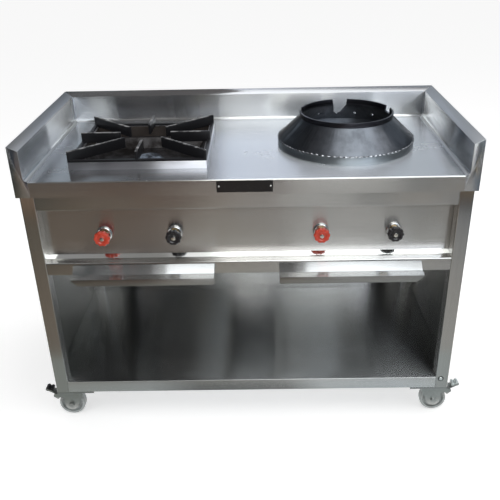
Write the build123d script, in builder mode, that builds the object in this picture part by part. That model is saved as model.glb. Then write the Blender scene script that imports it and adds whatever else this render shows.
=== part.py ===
from build123d import *
import math
import os

# Double burner range on casters: one open burner with a pan support, one wok burner with a ring
# X runs to the right, Y to the back and Z up, from the floor under the middle of the worktop

# Clearances
running_gap = 0.3
shaft_fit = 0.05
slip_gap = 1.0

# Sheet metal and tube
sheet = 1.5
tube = 38
tube_wall = 1.5
tube_corner = 3

# Worktop with a rolled front apron
top_length = 1200
top_depth = 580
top_height = 790
apron_height = 43
deck_edge_radius = 4

# Splash guards
guard_width = 25
guard_height = 82.5
guard_rise = 10.5
cove_radius = 12

# Frame
leg_inset = 8
top_rail_height = 80
lower_rail_drop = 238
rear_mid_rail_rise = 36
shelf_lip = 38
panel_lap = 22

# Nameplate on the apron
plate_length = 146
plate_height = 32
plate_thickness = 1
plate_x = -4
plate_drop = 19
rivet_radius = 2.5
rivet_head = 1.2
rivet_inset = 6

# Pan support and burner surround on the left
support_x = -292
support_y = -32
support_length = 372
support_depth = 344
surround_height = 22
surround_flange = 14
surround_drop = 11.5
surround_ledge = 10
support_bar_width = 10
support_bar_height = 6
rib_height = 30
rib_thickness = 7
rib_inner_radius = 72

# Drip pan inside the surround
pan_rim = 9
pan_depth = 30
pan_slope = 34
pan_hole_radius = 48
pan_sheet = 1.2
pilot_hole_radius = 5

# Wok ring on the right
ring_x = 287
ring_y = -3
ring_base_radius = 196.5
ring_band_height = 22
ring_wall = 5
ring_neck_radius = 132.5
ring_neck_height = 83
ring_lip_radius = 134.5
ring_lip_height = 13
rear_notch_angle = 92
rear_notch_width = 45
rear_notch_depth = 49
rear_notch_lean = 10
rear_notch_foot = 20.5
rear_notch_shoulder_depth = 20.5
rear_notch_shoulder_inset = 3
side_notch_angles = (16, 167)
side_notch_width = 30
side_notch_depth = 19
vent_count = 4
vent_first_angle = 54
vent_pitch = 19.5
vent_radius = 4
vent_height = 45

# Spill bowl under the wok ring
bowl_hole_radius = 128
bowl_flange_radius = 150
bowl_floor_radius = 84
bowl_drop = 38
bowl_centre_radius = 62

# Burners
mixer_drop = 85
mixer_radius = 17
mixer_bore = 12
mixer_mouth_reach = 99
mouth_radius = 26
mouth_bore = 21
mouth_length = 22
burner_wall = 6
left_burner_offset = 6
left_bowl_foot = 24
left_bowl_radius = 44
left_bowl_depth = 14.7
left_bowl_rim_drop = 38
left_cap_radius = 42
left_cap_top_radius = 30
left_cap_height = 19
left_port_count = 20
wok_bowl_foot = 30
wok_bowl_radius = 58
wok_bowl_depth = 19.3
wok_bowl_rim_drop = 18
wok_cap_radius = 56
wok_cap_top_radius = 46
wok_cap_height = 24
wok_port_count = 28
port_radius = 1.6
cap_wall = 5
cap_crown = 2.5

# Air shutters on the mouths of the mixing tubes
shutter_thickness = 2
shutter_radius = 25
shutter_bore = 7
shutter_slot_inner = 10
shutter_slot_outer = 20
shutter_slot_length = 18
shutter_slot_count = 4
shutter_slot_angle = 42

# Burner bearers
front_bearer_reach = 35
rear_bearer_reach = 12
bearer_width = 20
bearer_height = 25
bearer_thickness = 3

# Gas train
manifold_reach = 57
manifold_radius = 13.45
manifold_wall = 2.65
manifold_start_reach = 37
manifold_turn_reach = 102
manifold_bend = 34
manifold_end_inset = 22
inlet_thread_radius = 10.4775
inlet_bore = 7.5
inlet_thread_length = 18
inlet_hex = 27
inlet_hex_length = 14
inlet_reach = 50
clamp_xs = (-300, 300)
clamp_thickness = 5
clamp_lip = 12
valve_drop = 168
main_left_x = -393
pilot_left_x = -200
main_right_x = 200
pilot_right_x = 398
valve_radius = 14
valve_length = 37
valve_neck_radius = 8
valve_nut_radius = 13
valve_nut_length = 5
valve_port_reach = 18
port_socket_depth = 4.5
port_spigot_radius = 7
feed_radius = 4.75
feed_wall = 1
feed_reach = 27
feed_bend = 16
pilot_radius = 3
pilot_wall = 0.8
pilot_loop_drop = 34
pilot_bend = 7.2
pilot_y = -50
left_pilot_offset = 62
right_pilot_offset = 50
pilot_tip_rise = 14
jet_radius = 7
jet_nozzle_radius = 4
jet_bore = 1
jet_inlet_reach = 28
jet_hex_length = 12
jet_gap = 4

# Valve knobs and bezels
knob_radius = 22
knob_thickness = 14
knob_face_inset = 4
knob_flutes = 10
flute_radius = 4
flute_centre_radius = 24
knob_boss_radius = 10
knob_boss_length = 6
knob_dish_radius = 13
knob_dish_depth = 3
stem_radius = 4
stem_engagement = 20
stem_nut_width = 11
stem_nut_length = 4
bezel_radius = 22
bezel_bore = 16.5
bezel_edge_radius = 2.2
bezel_depth = 6

# Drip trays
tray_left_x = -286
tray_right_x = 279
tray_pull_length = 387
tray_pan_length = 372
tray_drop = 30
tray_pan_height = 26
tray_rear_gap = 49
pull_top_drop = 6
pull_slope_drop = 18
pull_ledge = 28
pull_lip = 20
pull_return = 8
pull_reach = 50
pull_mitre = 19
runner_ledge = 18
runner_side_gap = 1

# Casters
mount_plate_length = 112
mount_plate_depth = 90
mount_plate_thickness = 5
caster_plate_length = 100
caster_plate_depth = 80
caster_plate_thickness = 3
bolt_pitch_x = 80
bolt_pitch_y = 60
bolt_radius = 4
bolt_head_radius = 6.5
bolt_head_height = 5
wheel_radius = 40
wheel_top_gap = 2.9
wheel_width = 30
wheel_trail = 27
wheel_hub_radius = 14
wheel_hub_length = 32
wheel_web = 14
wheel_rim_radius = 31
tread_round = 5
axle_radius = 5
axle_head_radius = 8.5
axle_head_length = 6
race_radius = 22
race_height = 12
race_chamfer_width = 4
race_chamfer_height = 6
kingpin_radius = 6
kingpin_head_radius = 9.5
kingpin_head_height = 3
crown_thickness = 2.5
crown_radius = 25
cheek_thickness = 2.5
cheek_gap = 33
cheek_corner = 10
cheek_back = 12
cheek_front = 49
axle_boss_radius = 20
pedal_pivot_gap = 5
pedal_pivot_rise = 34
pedal_pivot_radius = 3
pedal_ear_radius = 7
pedal_width = 24
pedal_reach = 32
pedal_rise = 18
pedal_thickness = 3
pedal_pad_length = 22
pedal_pad_thickness = 6
pedal_shoe_radius = 5.5
pedal_shoe_in = 2
pedal_shoe_drop = 12.3

# Derived heights of the casters, from the floor up
pin_bottom = 2 * wheel_radius + wheel_top_gap
crown_under = pin_bottom + kingpin_head_height + running_gap
crown_z = crown_under + crown_thickness
race_bottom = crown_z + running_gap
caster_plate_z = race_bottom + race_height
mount_plate_z = caster_plate_z + caster_plate_thickness
leg_bottom = mount_plate_z + mount_plate_thickness
cheek_outer = cheek_gap / 2 + cheek_thickness
pedal_pivot_out = wheel_trail + wheel_radius + pedal_pivot_gap
pedal_pivot_z = wheel_radius + pedal_pivot_rise
pedal_tip_out = pedal_pivot_out + pedal_reach
pedal_tip_z = pedal_pivot_z + pedal_rise

# Derived places shared by the pieces
half_length = top_length / 2
front_y = -top_depth / 2
rear_y = top_depth / 2
deck_under = top_height - sheet
apron_bottom = top_height - apron_height
guard_inner_x = half_length - guard_width
guard_inner_y = rear_y - guard_width
cove_x = guard_inner_x - cove_radius
cove_y = guard_inner_y - cove_radius
guard_top_inner = top_height + guard_height
guard_top_outer = guard_top_inner + guard_rise
frame_front = front_y + sheet
frame_rear = rear_y - sheet
leg_x = half_length - leg_inset - tube / 2
leg_front_y = frame_front + tube / 2
leg_rear_y = frame_rear - tube / 2
rail_half = leg_x - tube / 2
side_skin_x = half_length - leg_inset
side_rail_x = side_skin_x - sheet - tube / 2
side_rail_half = leg_rear_y - tube / 2
panel_front = frame_front + tube
back_panel_y = side_rail_half - sheet
shelf_under = leg_bottom + tube
shelf_top = shelf_under + sheet
top_rail_bottom = deck_under - top_rail_height
leg_top = top_height - deck_edge_radius
lower_rail_top = top_height - lower_rail_drop
lower_rail_bottom = lower_rail_top - tube
tray_pan_bottom = lower_rail_bottom - tray_drop
surround_top = top_height + surround_height
ledge_z = top_height - surround_drop

# Derived places of the burners and the gas train, from the back of the control panel
valve_back = panel_front + sheet
valve_z = top_height - valve_drop
valve_xs = (main_left_x, pilot_left_x, main_right_x, pilot_right_x)
manifold_y = valve_back + manifold_reach
manifold_start_x = main_left_x - manifold_start_reach
manifold_turn_x = pilot_right_x + manifold_turn_reach
manifold_end_y = rear_y - manifold_end_inset
feed_y = valve_back + feed_reach
mixer_mouth_y = valve_back + mixer_mouth_reach
jet_inlet_y = mixer_mouth_y - jet_inlet_reach
mixer_z = top_height - mixer_drop
mixer_bottom = mixer_z - mixer_radius
left_burner_x = support_x + left_burner_offset
left_burner_y = support_y
left_bowl_rim_z = top_height - left_bowl_rim_drop
wok_bowl_rim_z = top_height - wok_bowl_rim_drop
left_pilot_x = left_burner_x + left_pilot_offset
right_pilot_x = ring_x + right_pilot_offset
pilot_drop_z = valve_z - pilot_loop_drop


os.makedirs("parts", exist_ok=True)


def write_piece(piece, name):
    """Label a finished piece and write it to its own file."""
    piece.label = name
    export_step(piece, f"parts/{name}.step")


def plane_at_y(y):
    """Upright plane across the range at depth y: its X runs to the right, its Y runs up."""
    return Plane.XZ.offset(-y)


def plane_at_x(x):
    """Upright plane along the depth at x: its X runs to the back, its Y runs up."""
    return Plane.YZ.offset(x)


def upright_plane(x, y, angle=0):
    """Upright plane through (x, y): its X runs outwards at the angle, its Y runs up."""
    outwards = (math.cos(math.radians(angle)), math.sin(math.radians(angle)), 0)
    normal = (math.sin(math.radians(angle)), -math.cos(math.radians(angle)), 0)
    return Plane(origin=(x, y, 0), x_dir=outwards, z_dir=normal)


def facing_plane(x, y, angle, distance):
    """Upright plane that faces outwards at the angle, a distance out from (x, y)."""
    cosine = math.cos(math.radians(angle))
    sine = math.sin(math.radians(angle))
    origin = (x + distance * cosine, y + distance * sine, 0)
    return Plane(origin=origin, x_dir=(-sine, cosine, 0), z_dir=(cosine, sine, 0))


def tube_section(plane, centre, width=tube, height=tube):
    """Hollow tube section with rounded corners."""
    with BuildSketch(plane) as section:
        with Locations(centre):
            RectangleRounded(width, height, tube_corner)
            bore_corner = tube_corner - tube_wall
            bore_width = width - 2 * tube_wall
            bore_height = height - 2 * tube_wall
            RectangleRounded(bore_width, bore_height, bore_corner, mode=Mode.SUBTRACT)
    return section.sketch


def pipe_along(points, bend, radius, wall):
    """Round pipe along straight runs joined by bends."""
    with BuildPart() as pipe:
        with BuildLine() as path:
            FilletPolyline(*points, radius=bend)
        with BuildSketch(Plane(origin=path.line @ 0, z_dir=path.line % 0)):
            Circle(radius)
            Circle(radius - wall, mode=Mode.SUBTRACT)
        sweep(path=path.line)
    return pipe.part


def link_outline(plane, first, first_radius, second, second_radius):
    """Flat link outline round two bosses."""
    with BuildSketch(plane) as link:
        with Locations(first):
            Circle(first_radius)
        with Locations(second):
            Circle(second_radius)
        make_hull()
    return link.sketch


# Worktop: deck and apron in one folded sheet
surround_open_x = support_length - 2 * surround_flange + 2 * sheet + 2 * slip_gap
surround_open_y = support_depth - 2 * surround_flange + 2 * sheet + 2 * slip_gap
with BuildPart() as worktop_deck:
    with BuildSketch(plane_at_x(-cove_x)):
        with BuildLine():
            roll_start = (front_y + deck_edge_radius, top_height)
            roll_end = (front_y, top_height - deck_edge_radius)
            Line((cove_y, top_height), roll_start)
            TangentArc(roll_start, roll_end, tangent=(-1, 0))
            Line(roll_end, (front_y, apron_bottom))
            offset(amount=sheet, side=Side.LEFT, kind=Kind.INTERSECTION)
        make_face()
    extrude(amount=2 * cove_x)
    with BuildSketch(Plane.XY.offset(top_height)):
        with Locations((support_x, support_y)):
            Rectangle(surround_open_x, surround_open_y)
        with Locations((ring_x, ring_y)):
            Circle(bowl_hole_radius)
    extrude(amount=-2 * sheet, mode=Mode.SUBTRACT)
write_piece(worktop_deck.part, "worktop_deck")


def guard_line(cove_edge, inner, outer):
    """Visible line of a splash guard: cove, inner wall, sloping top and outer skirt."""
    cove_start = (cove_edge, top_height)
    cove_end = (inner, top_height + cove_radius)
    outwards = 1 if outer > inner else -1
    TangentArc(cove_start, cove_end, tangent=(outwards, 0))
    Polyline(cove_end, (inner, guard_top_inner), (outer, guard_top_outer), (outer, apron_bottom))


# Splash guards: folded box sections, mitred at the rear corners and closed at the front
left_mitre = Plane(origin=(-half_length, rear_y, 0), z_dir=(1, 1, 0))
right_mitre = Plane(origin=(half_length, rear_y, 0), z_dir=(-1, 1, 0))
with BuildPart() as splash_guard_left:
    with BuildSketch(plane_at_y(rear_y)):
        with BuildLine():
            guard_line(-cove_x, -guard_inner_x, -half_length)
            offset(amount=sheet, side=Side.LEFT, kind=Kind.INTERSECTION)
        make_face()
    extrude(amount=top_depth)
    split(bisect_by=left_mitre, keep=Keep.BOTTOM)
    with BuildSketch(plane_at_y(front_y + sheet)):
        with BuildLine():
            guard_line(-cove_x, -guard_inner_x, -half_length)
            Polyline((-half_length, apron_bottom), (-cove_x, apron_bottom), (-cove_x, top_height))
        make_face()
    extrude(amount=sheet)
write_piece(splash_guard_left.part, "splash_guard_left")

with BuildPart() as splash_guard_right:
    mirror(splash_guard_left.part, about=Plane.YZ)
write_piece(splash_guard_right.part, "splash_guard_right")

with BuildPart() as splash_guard_rear:
    with BuildSketch(plane_at_x(-half_length)):
        with BuildLine():
            guard_line(cove_y, guard_inner_y, rear_y)
            offset(amount=sheet, side=Side.RIGHT, kind=Kind.INTERSECTION)
        make_face()
    extrude(amount=top_length)
    split(bisect_by=left_mitre, keep=Keep.TOP)
    split(bisect_by=right_mitre, keep=Keep.TOP)
write_piece(splash_guard_rear.part, "splash_guard_rear")

# Legs
for depth_name, leg_y in (("front", leg_front_y), ("rear", leg_rear_y)):
    for side_name, side in (("left", -1), ("right", 1)):
        with BuildPart() as leg:
            extrude(tube_section(Plane.XY.offset(leg_bottom), (side * leg_x, leg_y)),
                    amount=leg_top - leg_bottom)
        write_piece(leg.part, f"leg_{depth_name}_{side_name}")

# Rails across the range
with BuildPart() as front_top_rail:
    rail_centre = (leg_front_y, deck_under - top_rail_height / 2)
    extrude(tube_section(plane_at_x(-rail_half), rail_centre, height=top_rail_height),
            amount=2 * rail_half)
write_piece(front_top_rail.part, "front_top_rail")

with BuildPart() as front_lower_rail:
    rail_centre = (leg_front_y, lower_rail_top - tube / 2)
    extrude(tube_section(plane_at_x(-rail_half), rail_centre), amount=2 * rail_half)
write_piece(front_lower_rail.part, "front_lower_rail")

with BuildPart() as rear_mid_rail:
    rail_centre = (leg_rear_y, tray_pan_bottom + rear_mid_rail_rise - tube / 2)
    extrude(tube_section(plane_at_x(-rail_half), rail_centre), amount=2 * rail_half)
write_piece(rear_mid_rail.part, "rear_mid_rail")

# Side rails under the worktop and under the shelf, and the long rails they meet
for rails_name, rail_z, long_ys in (
    ("top_frame_rails", deck_under - tube / 2, (leg_rear_y,)),
    ("base_rails", leg_bottom + tube / 2, (leg_front_y, leg_rear_y)),
):
    with BuildPart() as long_rails:
        for rail_y in long_ys:
            extrude(tube_section(plane_at_x(-rail_half), (rail_y, rail_z)), amount=2 * rail_half)
    with BuildPart() as side_rails:
        for side in (-1, 1):
            extrude(tube_section(plane_at_y(side_rail_half), (side * side_rail_x, rail_z)),
                    amount=2 * side_rail_half)
    write_piece(Compound(children=[long_rails.part, side_rails.part]), rails_name)

# Bottom shelf: one sheet with a front lip, cut away round the legs
with BuildPart() as bottom_shelf:
    with BuildSketch(Plane.XY.offset(shelf_under)):
        Rectangle(2 * (side_skin_x - sheet), 2 * side_rail_half)
        with Locations((0, (front_y + frame_rear) / 2)):
            Rectangle(2 * rail_half, frame_rear - front_y)
    extrude(amount=sheet)
    with BuildSketch(Plane.XY.offset(shelf_under)):
        with Locations((0, front_y + sheet / 2)):
            Rectangle(2 * rail_half, sheet)
    extrude(amount=sheet - shelf_lip)
write_piece(bottom_shelf.part, "bottom_shelf")

# Side panels between the legs, flush with them
panel_bottom = leg_bottom + sheet
for side_name, side in (("left", -1), ("right", 1)):
    with BuildPart() as side_panel:
        with BuildSketch(Plane.XY.offset(panel_bottom)):
            with Locations((side * (side_skin_x - sheet / 2), 0)):
                Rectangle(sheet, 2 * side_rail_half)
        extrude(amount=deck_under - panel_bottom)
    write_piece(side_panel.part, f"side_panel_{side_name}")

# Back panel on the inner faces of the rear legs, with a hole for the gas pipe
with BuildPart() as back_panel:
    with BuildSketch(plane_at_y(side_rail_half)):
        with Locations((0, (shelf_top + deck_under) / 2)):
            Rectangle(2 * (side_rail_x - tube / 2 - slip_gap), deck_under - shelf_top)
        with Locations((manifold_turn_x, valve_z)):
            Circle(manifold_radius + slip_gap, mode=Mode.SUBTRACT)
    extrude(amount=sheet)
write_piece(back_panel.part, "back_panel")

# Control panel behind the front rails
with BuildPart() as control_panel:
    with BuildSketch(plane_at_y(panel_front + sheet)):
        panel_low = lower_rail_top - panel_lap
        panel_high = top_rail_bottom + panel_lap
        with Locations((0, (panel_low + panel_high) / 2)):
            Rectangle(2 * (side_skin_x - sheet - slip_gap), panel_high - panel_low)
        with Locations(*[(x, valve_z) for x in valve_xs]):
            Circle(valve_neck_radius + shaft_fit, mode=Mode.SUBTRACT)
    extrude(amount=sheet)
write_piece(control_panel.part, "control_panel")

# Bare nameplate and its rivets
with BuildPart() as nameplate:
    with BuildSketch(plane_at_y(front_y)):
        with Locations((plate_x, top_height - plate_drop)):
            Rectangle(plate_length, plate_height)
    extrude(amount=plate_thickness)
write_piece(nameplate.part, "nameplate")

with BuildPart() as nameplate_rivets:
    with BuildSketch(plane_at_y(front_y - plate_thickness)):
        with Locations((plate_x, top_height - plate_drop)):
            with GridLocations(plate_length - 2 * rivet_inset, 1, 2, 1):
                Circle(rivet_radius)
    extrude(amount=rivet_head)
    chamfer(faces().sort_by(Axis.Y)[:2].edges(), rivet_head / 2)
write_piece(nameplate_rivets.part, "nameplate_rivets")

# Burner surround: folded square rim with an inner wall and a ledge
surround_in_x = support_length - 2 * surround_flange
surround_in_y = support_depth - 2 * surround_flange
with BuildPart() as burner_surround:
    with BuildSketch(Plane.XY.offset(top_height)):
        with Locations((support_x, support_y)):
            Rectangle(support_length, support_depth)
            Rectangle(support_length - 2 * sheet, support_depth - 2 * sheet, mode=Mode.SUBTRACT)
    extrude(amount=surround_height)
    with BuildSketch(Plane.XY.offset(surround_top)):
        with Locations((support_x, support_y)):
            Rectangle(support_length, support_depth)
            Rectangle(surround_in_x, surround_in_y, mode=Mode.SUBTRACT)
    extrude(amount=-sheet)
    with BuildSketch(Plane.XY.offset(surround_top)):
        with Locations((support_x, support_y)):
            Rectangle(surround_in_x + 2 * sheet, surround_in_y + 2 * sheet)
            Rectangle(surround_in_x, surround_in_y, mode=Mode.SUBTRACT)
    extrude(amount=ledge_z - sheet - surround_top)
    with BuildSketch(Plane.XY.offset(ledge_z)):
        with Locations((support_x, support_y)):
            Rectangle(surround_in_x + 2 * sheet, surround_in_y + 2 * sheet)
            Rectangle(surround_in_x - 2 * surround_ledge, surround_in_y - 2 * surround_ledge,
                      mode=Mode.SUBTRACT)
    extrude(amount=-sheet)
write_piece(burner_surround.part, "burner_surround")

# Drip pan: flat rim on the ledge, sloping walls and a floor with holes for burner and pilot
pan_rim_x = surround_in_x - 2 * slip_gap
pan_rim_y = surround_in_y - 2 * slip_gap
pan_mouth_x = pan_rim_x - 2 * (pan_rim + slip_gap)
pan_mouth_y = pan_rim_y - 2 * (pan_rim + slip_gap)
pan_top = ledge_z + pan_sheet
with BuildPart() as drip_pan:
    with BuildSketch(Plane.XY.offset(ledge_z)):
        with Locations((support_x, support_y)):
            Rectangle(pan_rim_x, pan_rim_y)
    extrude(amount=pan_sheet)
    with BuildSketch(Plane.XY.offset(pan_top)):
        with Locations((support_x, support_y)):
            Rectangle(pan_mouth_x, pan_mouth_y)
    extrude(amount=-pan_depth, taper=pan_slope)
    with BuildSketch(Plane.XY.offset(pan_top)):
        with Locations((support_x, support_y)):
            Rectangle(pan_mouth_x - 2 * pan_sheet, pan_mouth_y - 2 * pan_sheet)
    extrude(amount=pan_sheet - pan_depth, taper=pan_slope, mode=Mode.SUBTRACT)
    with BuildSketch(Plane.XY.offset(pan_top)):
        with Locations((left_burner_x, left_burner_y)):
            Circle(pan_hole_radius)
        with Locations((left_pilot_x, pilot_y)):
            Circle(pilot_hole_radius)
    extrude(amount=-2 * pan_depth, mode=Mode.SUBTRACT)
write_piece(drip_pan.part, "drip_pan")

# Pan support: flat square frame with eight upright ribs round an open middle
corner_reach = math.hypot(support_length, support_depth) / 2
corner_angle = math.degrees(math.atan2(support_depth, support_length))
rib_runs = [(0, support_length / 2), (90, support_depth / 2)]
rib_runs += [(180, support_length / 2), (270, support_depth / 2)]
rib_runs += [(corner_angle, corner_reach), (180 - corner_angle, corner_reach)]
rib_runs += [(180 + corner_angle, corner_reach), (-corner_angle, corner_reach)]
with BuildPart() as pan_support:
    with BuildSketch(Plane.XY.offset(surround_top)):
        with Locations((support_x, support_y)):
            Rectangle(support_length, support_depth)
            Rectangle(support_length - 2 * support_bar_width,
                      support_depth - 2 * support_bar_width, mode=Mode.SUBTRACT)
    extrude(amount=support_bar_height)
    for rib_angle, rib_reach in rib_runs:
        with BuildSketch(facing_plane(support_x, support_y, rib_angle, rib_inner_radius)):
            with Locations((0, surround_top + rib_height / 2)):
                Rectangle(rib_thickness, rib_height)
        extrude(amount=rib_reach + rib_thickness - rib_inner_radius)
    with BuildSketch(Plane.XY.offset(surround_top)):
        with Locations((support_x, support_y)):
            Rectangle(support_length, support_depth)
    extrude(amount=rib_height, mode=Mode.INTERSECT)
write_piece(pan_support.part, "pan_support")

# Wok ring: base band, cone and lipped collar, notched and drilled at the back
ring_top = top_height + ring_neck_height + ring_lip_height
cone_angle = math.atan2(ring_neck_height - ring_band_height, ring_base_radius - ring_neck_radius)
cone_wall = ring_wall / math.sin(cone_angle)
ring_bore = ring_lip_radius - ring_wall
with BuildPart() as wok_ring:
    with BuildSketch(upright_plane(ring_x, ring_y)):
        band_z = top_height + ring_band_height
        neck_z = top_height + ring_neck_height
        bore_z = neck_z - (cone_wall + ring_bore - ring_neck_radius) * math.tan(cone_angle)
        band_bore = ring_base_radius - ring_wall
        inner_z = band_z - (cone_wall - ring_wall) * math.tan(cone_angle)
        with BuildLine():
            Polyline((ring_base_radius, top_height), (ring_base_radius, band_z),
                     (ring_neck_radius, neck_z), (ring_lip_radius, neck_z),
                     (ring_lip_radius, ring_top), (ring_bore, ring_top), (ring_bore, bore_z),
                     (band_bore, inner_z), (band_bore, top_height), close=True)
        make_face()
    revolve(axis=Axis((ring_x, ring_y, 0), (0, 0, 1)))
    with BuildSketch(facing_plane(ring_x, ring_y, rear_notch_angle, bowl_hole_radius / 2)):
        with BuildLine():
            half_notch = rear_notch_width / 2
            notch_z = ring_top - rear_notch_depth
            notch_mouth_z = ring_top + running_gap
            foot_edge = half_notch - rear_notch_lean
            shoulder_z = ring_top - rear_notch_shoulder_depth
            Polyline((half_notch, notch_mouth_z), (foot_edge, notch_z),
                     (foot_edge - rear_notch_foot, notch_z),
                     (rear_notch_shoulder_inset - half_notch, shoulder_z),
                     (-half_notch, notch_mouth_z), close=True)
        make_face()
    extrude(amount=ring_base_radius, mode=Mode.SUBTRACT)
    for notch_angle in side_notch_angles:
        with BuildSketch(facing_plane(ring_x, ring_y, notch_angle, bowl_hole_radius / 2)):
            with Locations((0, ring_top)):
                Rectangle(side_notch_width, 2 * side_notch_depth)
        extrude(amount=ring_base_radius, mode=Mode.SUBTRACT)
    for vent in range(vent_count):
        vent_angle = vent_first_angle + vent * vent_pitch
        with BuildSketch(facing_plane(ring_x, ring_y, vent_angle, bowl_hole_radius / 2)):
            with Locations((0, top_height + vent_height)):
                Circle(vent_radius)
        extrude(amount=ring_base_radius, mode=Mode.SUBTRACT)
write_piece(wok_ring.part, "wok_ring")

# Spill bowl hung in the round hole under the wok ring
with BuildPart() as spill_bowl:
    with BuildSketch(upright_plane(ring_x, ring_y)):
        bowl_mouth = bowl_hole_radius - slip_gap
        bowl_floor_z = top_height - bowl_drop
        with BuildLine():
            Polyline((bowl_flange_radius, top_height + pan_sheet), (bowl_mouth, top_height + pan_sheet),
                     (bowl_floor_radius, bowl_floor_z), (bowl_centre_radius, bowl_floor_z))
            offset(amount=pan_sheet, side=Side.LEFT, kind=Kind.INTERSECTION)
        make_face()
    revolve(axis=Axis((ring_x, ring_y, 0), (0, 0, 1)))
    with BuildSketch(Plane.XY.offset(bowl_floor_z + bowl_drop / 2)):
        with Locations((right_pilot_x, pilot_y)):
            Circle(pilot_hole_radius)
    extrude(amount=-bowl_drop, mode=Mode.SUBTRACT)
write_piece(spill_bowl.part, "spill_bowl")


def make_burner_body(name, x, y, foot, bowl_radius, bowl_depth, rim_z):
    """Cast burner body: round bowl, mixing tube and flared mouth, all hollow."""
    shoulder_z = rim_z - bowl_depth
    waist_z = mixer_z + mixer_bore
    with BuildPart() as body:
        with BuildSketch(upright_plane(x, y)):
            with BuildLine():
                Polyline((0, mixer_bottom), (foot, mixer_bottom), (foot, waist_z),
                         (bowl_radius, shoulder_z), (bowl_radius, rim_z), (0, rim_z), close=True)
            make_face()
        revolve(axis=Axis((x, y, 0), (0, 0, 1)))
        with BuildSketch(plane_at_y(y)):
            with Locations((x, mixer_z)):
                Circle(mixer_radius)
        extrude(amount=y - mixer_mouth_y)
        with BuildSketch(plane_at_y(mixer_mouth_y + mouth_length)):
            with Locations((x, mixer_z)):
                Circle(mixer_radius)
        with BuildSketch(plane_at_y(mixer_mouth_y)):
            with Locations((x, mixer_z)):
                Circle(mouth_radius)
        loft()
        with BuildSketch(upright_plane(x, y)):
            with BuildLine():
                inner = bowl_radius - burner_wall
                Polyline((0, mixer_bottom + burner_wall), (foot - burner_wall, mixer_bottom + burner_wall),
                         (foot - burner_wall, waist_z), (inner, shoulder_z), (inner, rim_z),
                         (0, rim_z), close=True)
            make_face()
        revolve(axis=Axis((x, y, 0), (0, 0, 1)), mode=Mode.SUBTRACT)
        with BuildSketch(plane_at_y(y)):
            with Locations((x, mixer_z)):
                Circle(mixer_bore)
        extrude(amount=y - mixer_mouth_y, mode=Mode.SUBTRACT)
        with BuildSketch(plane_at_y(mixer_mouth_y + mouth_length)):
            with Locations((x, mixer_z)):
                Circle(mixer_bore)
        with BuildSketch(plane_at_y(mixer_mouth_y)):
            with Locations((x, mixer_z)):
                Circle(mouth_bore)
        loft(mode=Mode.SUBTRACT)
    write_piece(body.part, name)


def make_burner_cap(name, x, y, rim_z, radius, top_radius, height, port_count):
    """Loose burner cap: flange, sloping side with drilled ports and a flat top."""
    flange_z = rim_z + cap_wall
    top_z = rim_z + height
    with BuildPart() as cap:
        with BuildSketch(upright_plane(x, y)):
            with BuildLine():
                Polyline((0, top_z), (top_radius, top_z - cap_crown), (radius, flange_z),
                         (radius, rim_z), (radius - cap_wall, rim_z),
                         (top_radius - cap_wall, top_z - cap_crown - cap_wall), (0, top_z - cap_wall),
                         close=True)
            make_face()
        revolve(axis=Axis((x, y, 0), (0, 0, 1)))
        for port in range(port_count):
            port_angle = (port + 0.5) * 360 / port_count
            with BuildSketch(facing_plane(x, y, port_angle, top_radius / 2)):
                with Locations((0, (flange_z + top_z - cap_crown) / 2)):
                    Circle(port_radius)
            extrude(amount=radius, mode=Mode.SUBTRACT)
    write_piece(cap.part, name)


make_burner_body("burner_body_left", left_burner_x, left_burner_y, left_bowl_foot,
                 left_bowl_radius, left_bowl_depth, left_bowl_rim_z)
make_burner_body("burner_body_right", ring_x, ring_y, wok_bowl_foot, wok_bowl_radius,
                 wok_bowl_depth, wok_bowl_rim_z)
make_burner_cap("burner_cap_left", left_burner_x, left_burner_y, left_bowl_rim_z,
                left_cap_radius, left_cap_top_radius, left_cap_height, left_port_count)
make_burner_cap("burner_cap_right", ring_x, ring_y, wok_bowl_rim_z, wok_cap_radius,
                wok_cap_top_radius, wok_cap_height, wok_port_count)

# Air shutters: slotted discs in front of the mouths
shutter_y = mixer_mouth_y - running_gap
for side_name, burner_x in (("left", left_burner_x), ("right", ring_x)):
    with BuildPart() as air_shutter:
        with BuildSketch(plane_at_y(shutter_y)):
            with Locations((burner_x, mixer_z)):
                Circle(shutter_radius)
                Circle(shutter_bore, mode=Mode.SUBTRACT)
                slot_centre = (shutter_slot_inner + shutter_slot_outer) / 2
                slot_width = shutter_slot_outer - shutter_slot_inner
                with PolarLocations(slot_centre, shutter_slot_count):
                    SlotOverall(shutter_slot_length, slot_width, rotation=90,
                                mode=Mode.SUBTRACT)
        extrude(amount=shutter_thickness)
    write_piece(air_shutter.part, f"air_shutter_{side_name}")

# Bearers: two angle bars that carry both burners, between the side panels
with BuildPart() as burner_bearers:
    with BuildSketch(plane_at_x(sheet - side_skin_x)):
        for bearer_y in (mixer_mouth_y + front_bearer_reach, left_burner_y + rear_bearer_reach):
            with Locations((bearer_y, mixer_bottom)):
                Rectangle(bearer_width, bearer_thickness, align=(Align.CENTER, Align.MAX))
            with Locations((bearer_y + bearer_width / 2, mixer_bottom)):
                Rectangle(bearer_thickness, bearer_height, align=(Align.MAX, Align.MAX))
    extrude(amount=2 * side_skin_x - 2 * sheet)
write_piece(burner_bearers.part, "burner_bearers")

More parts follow.
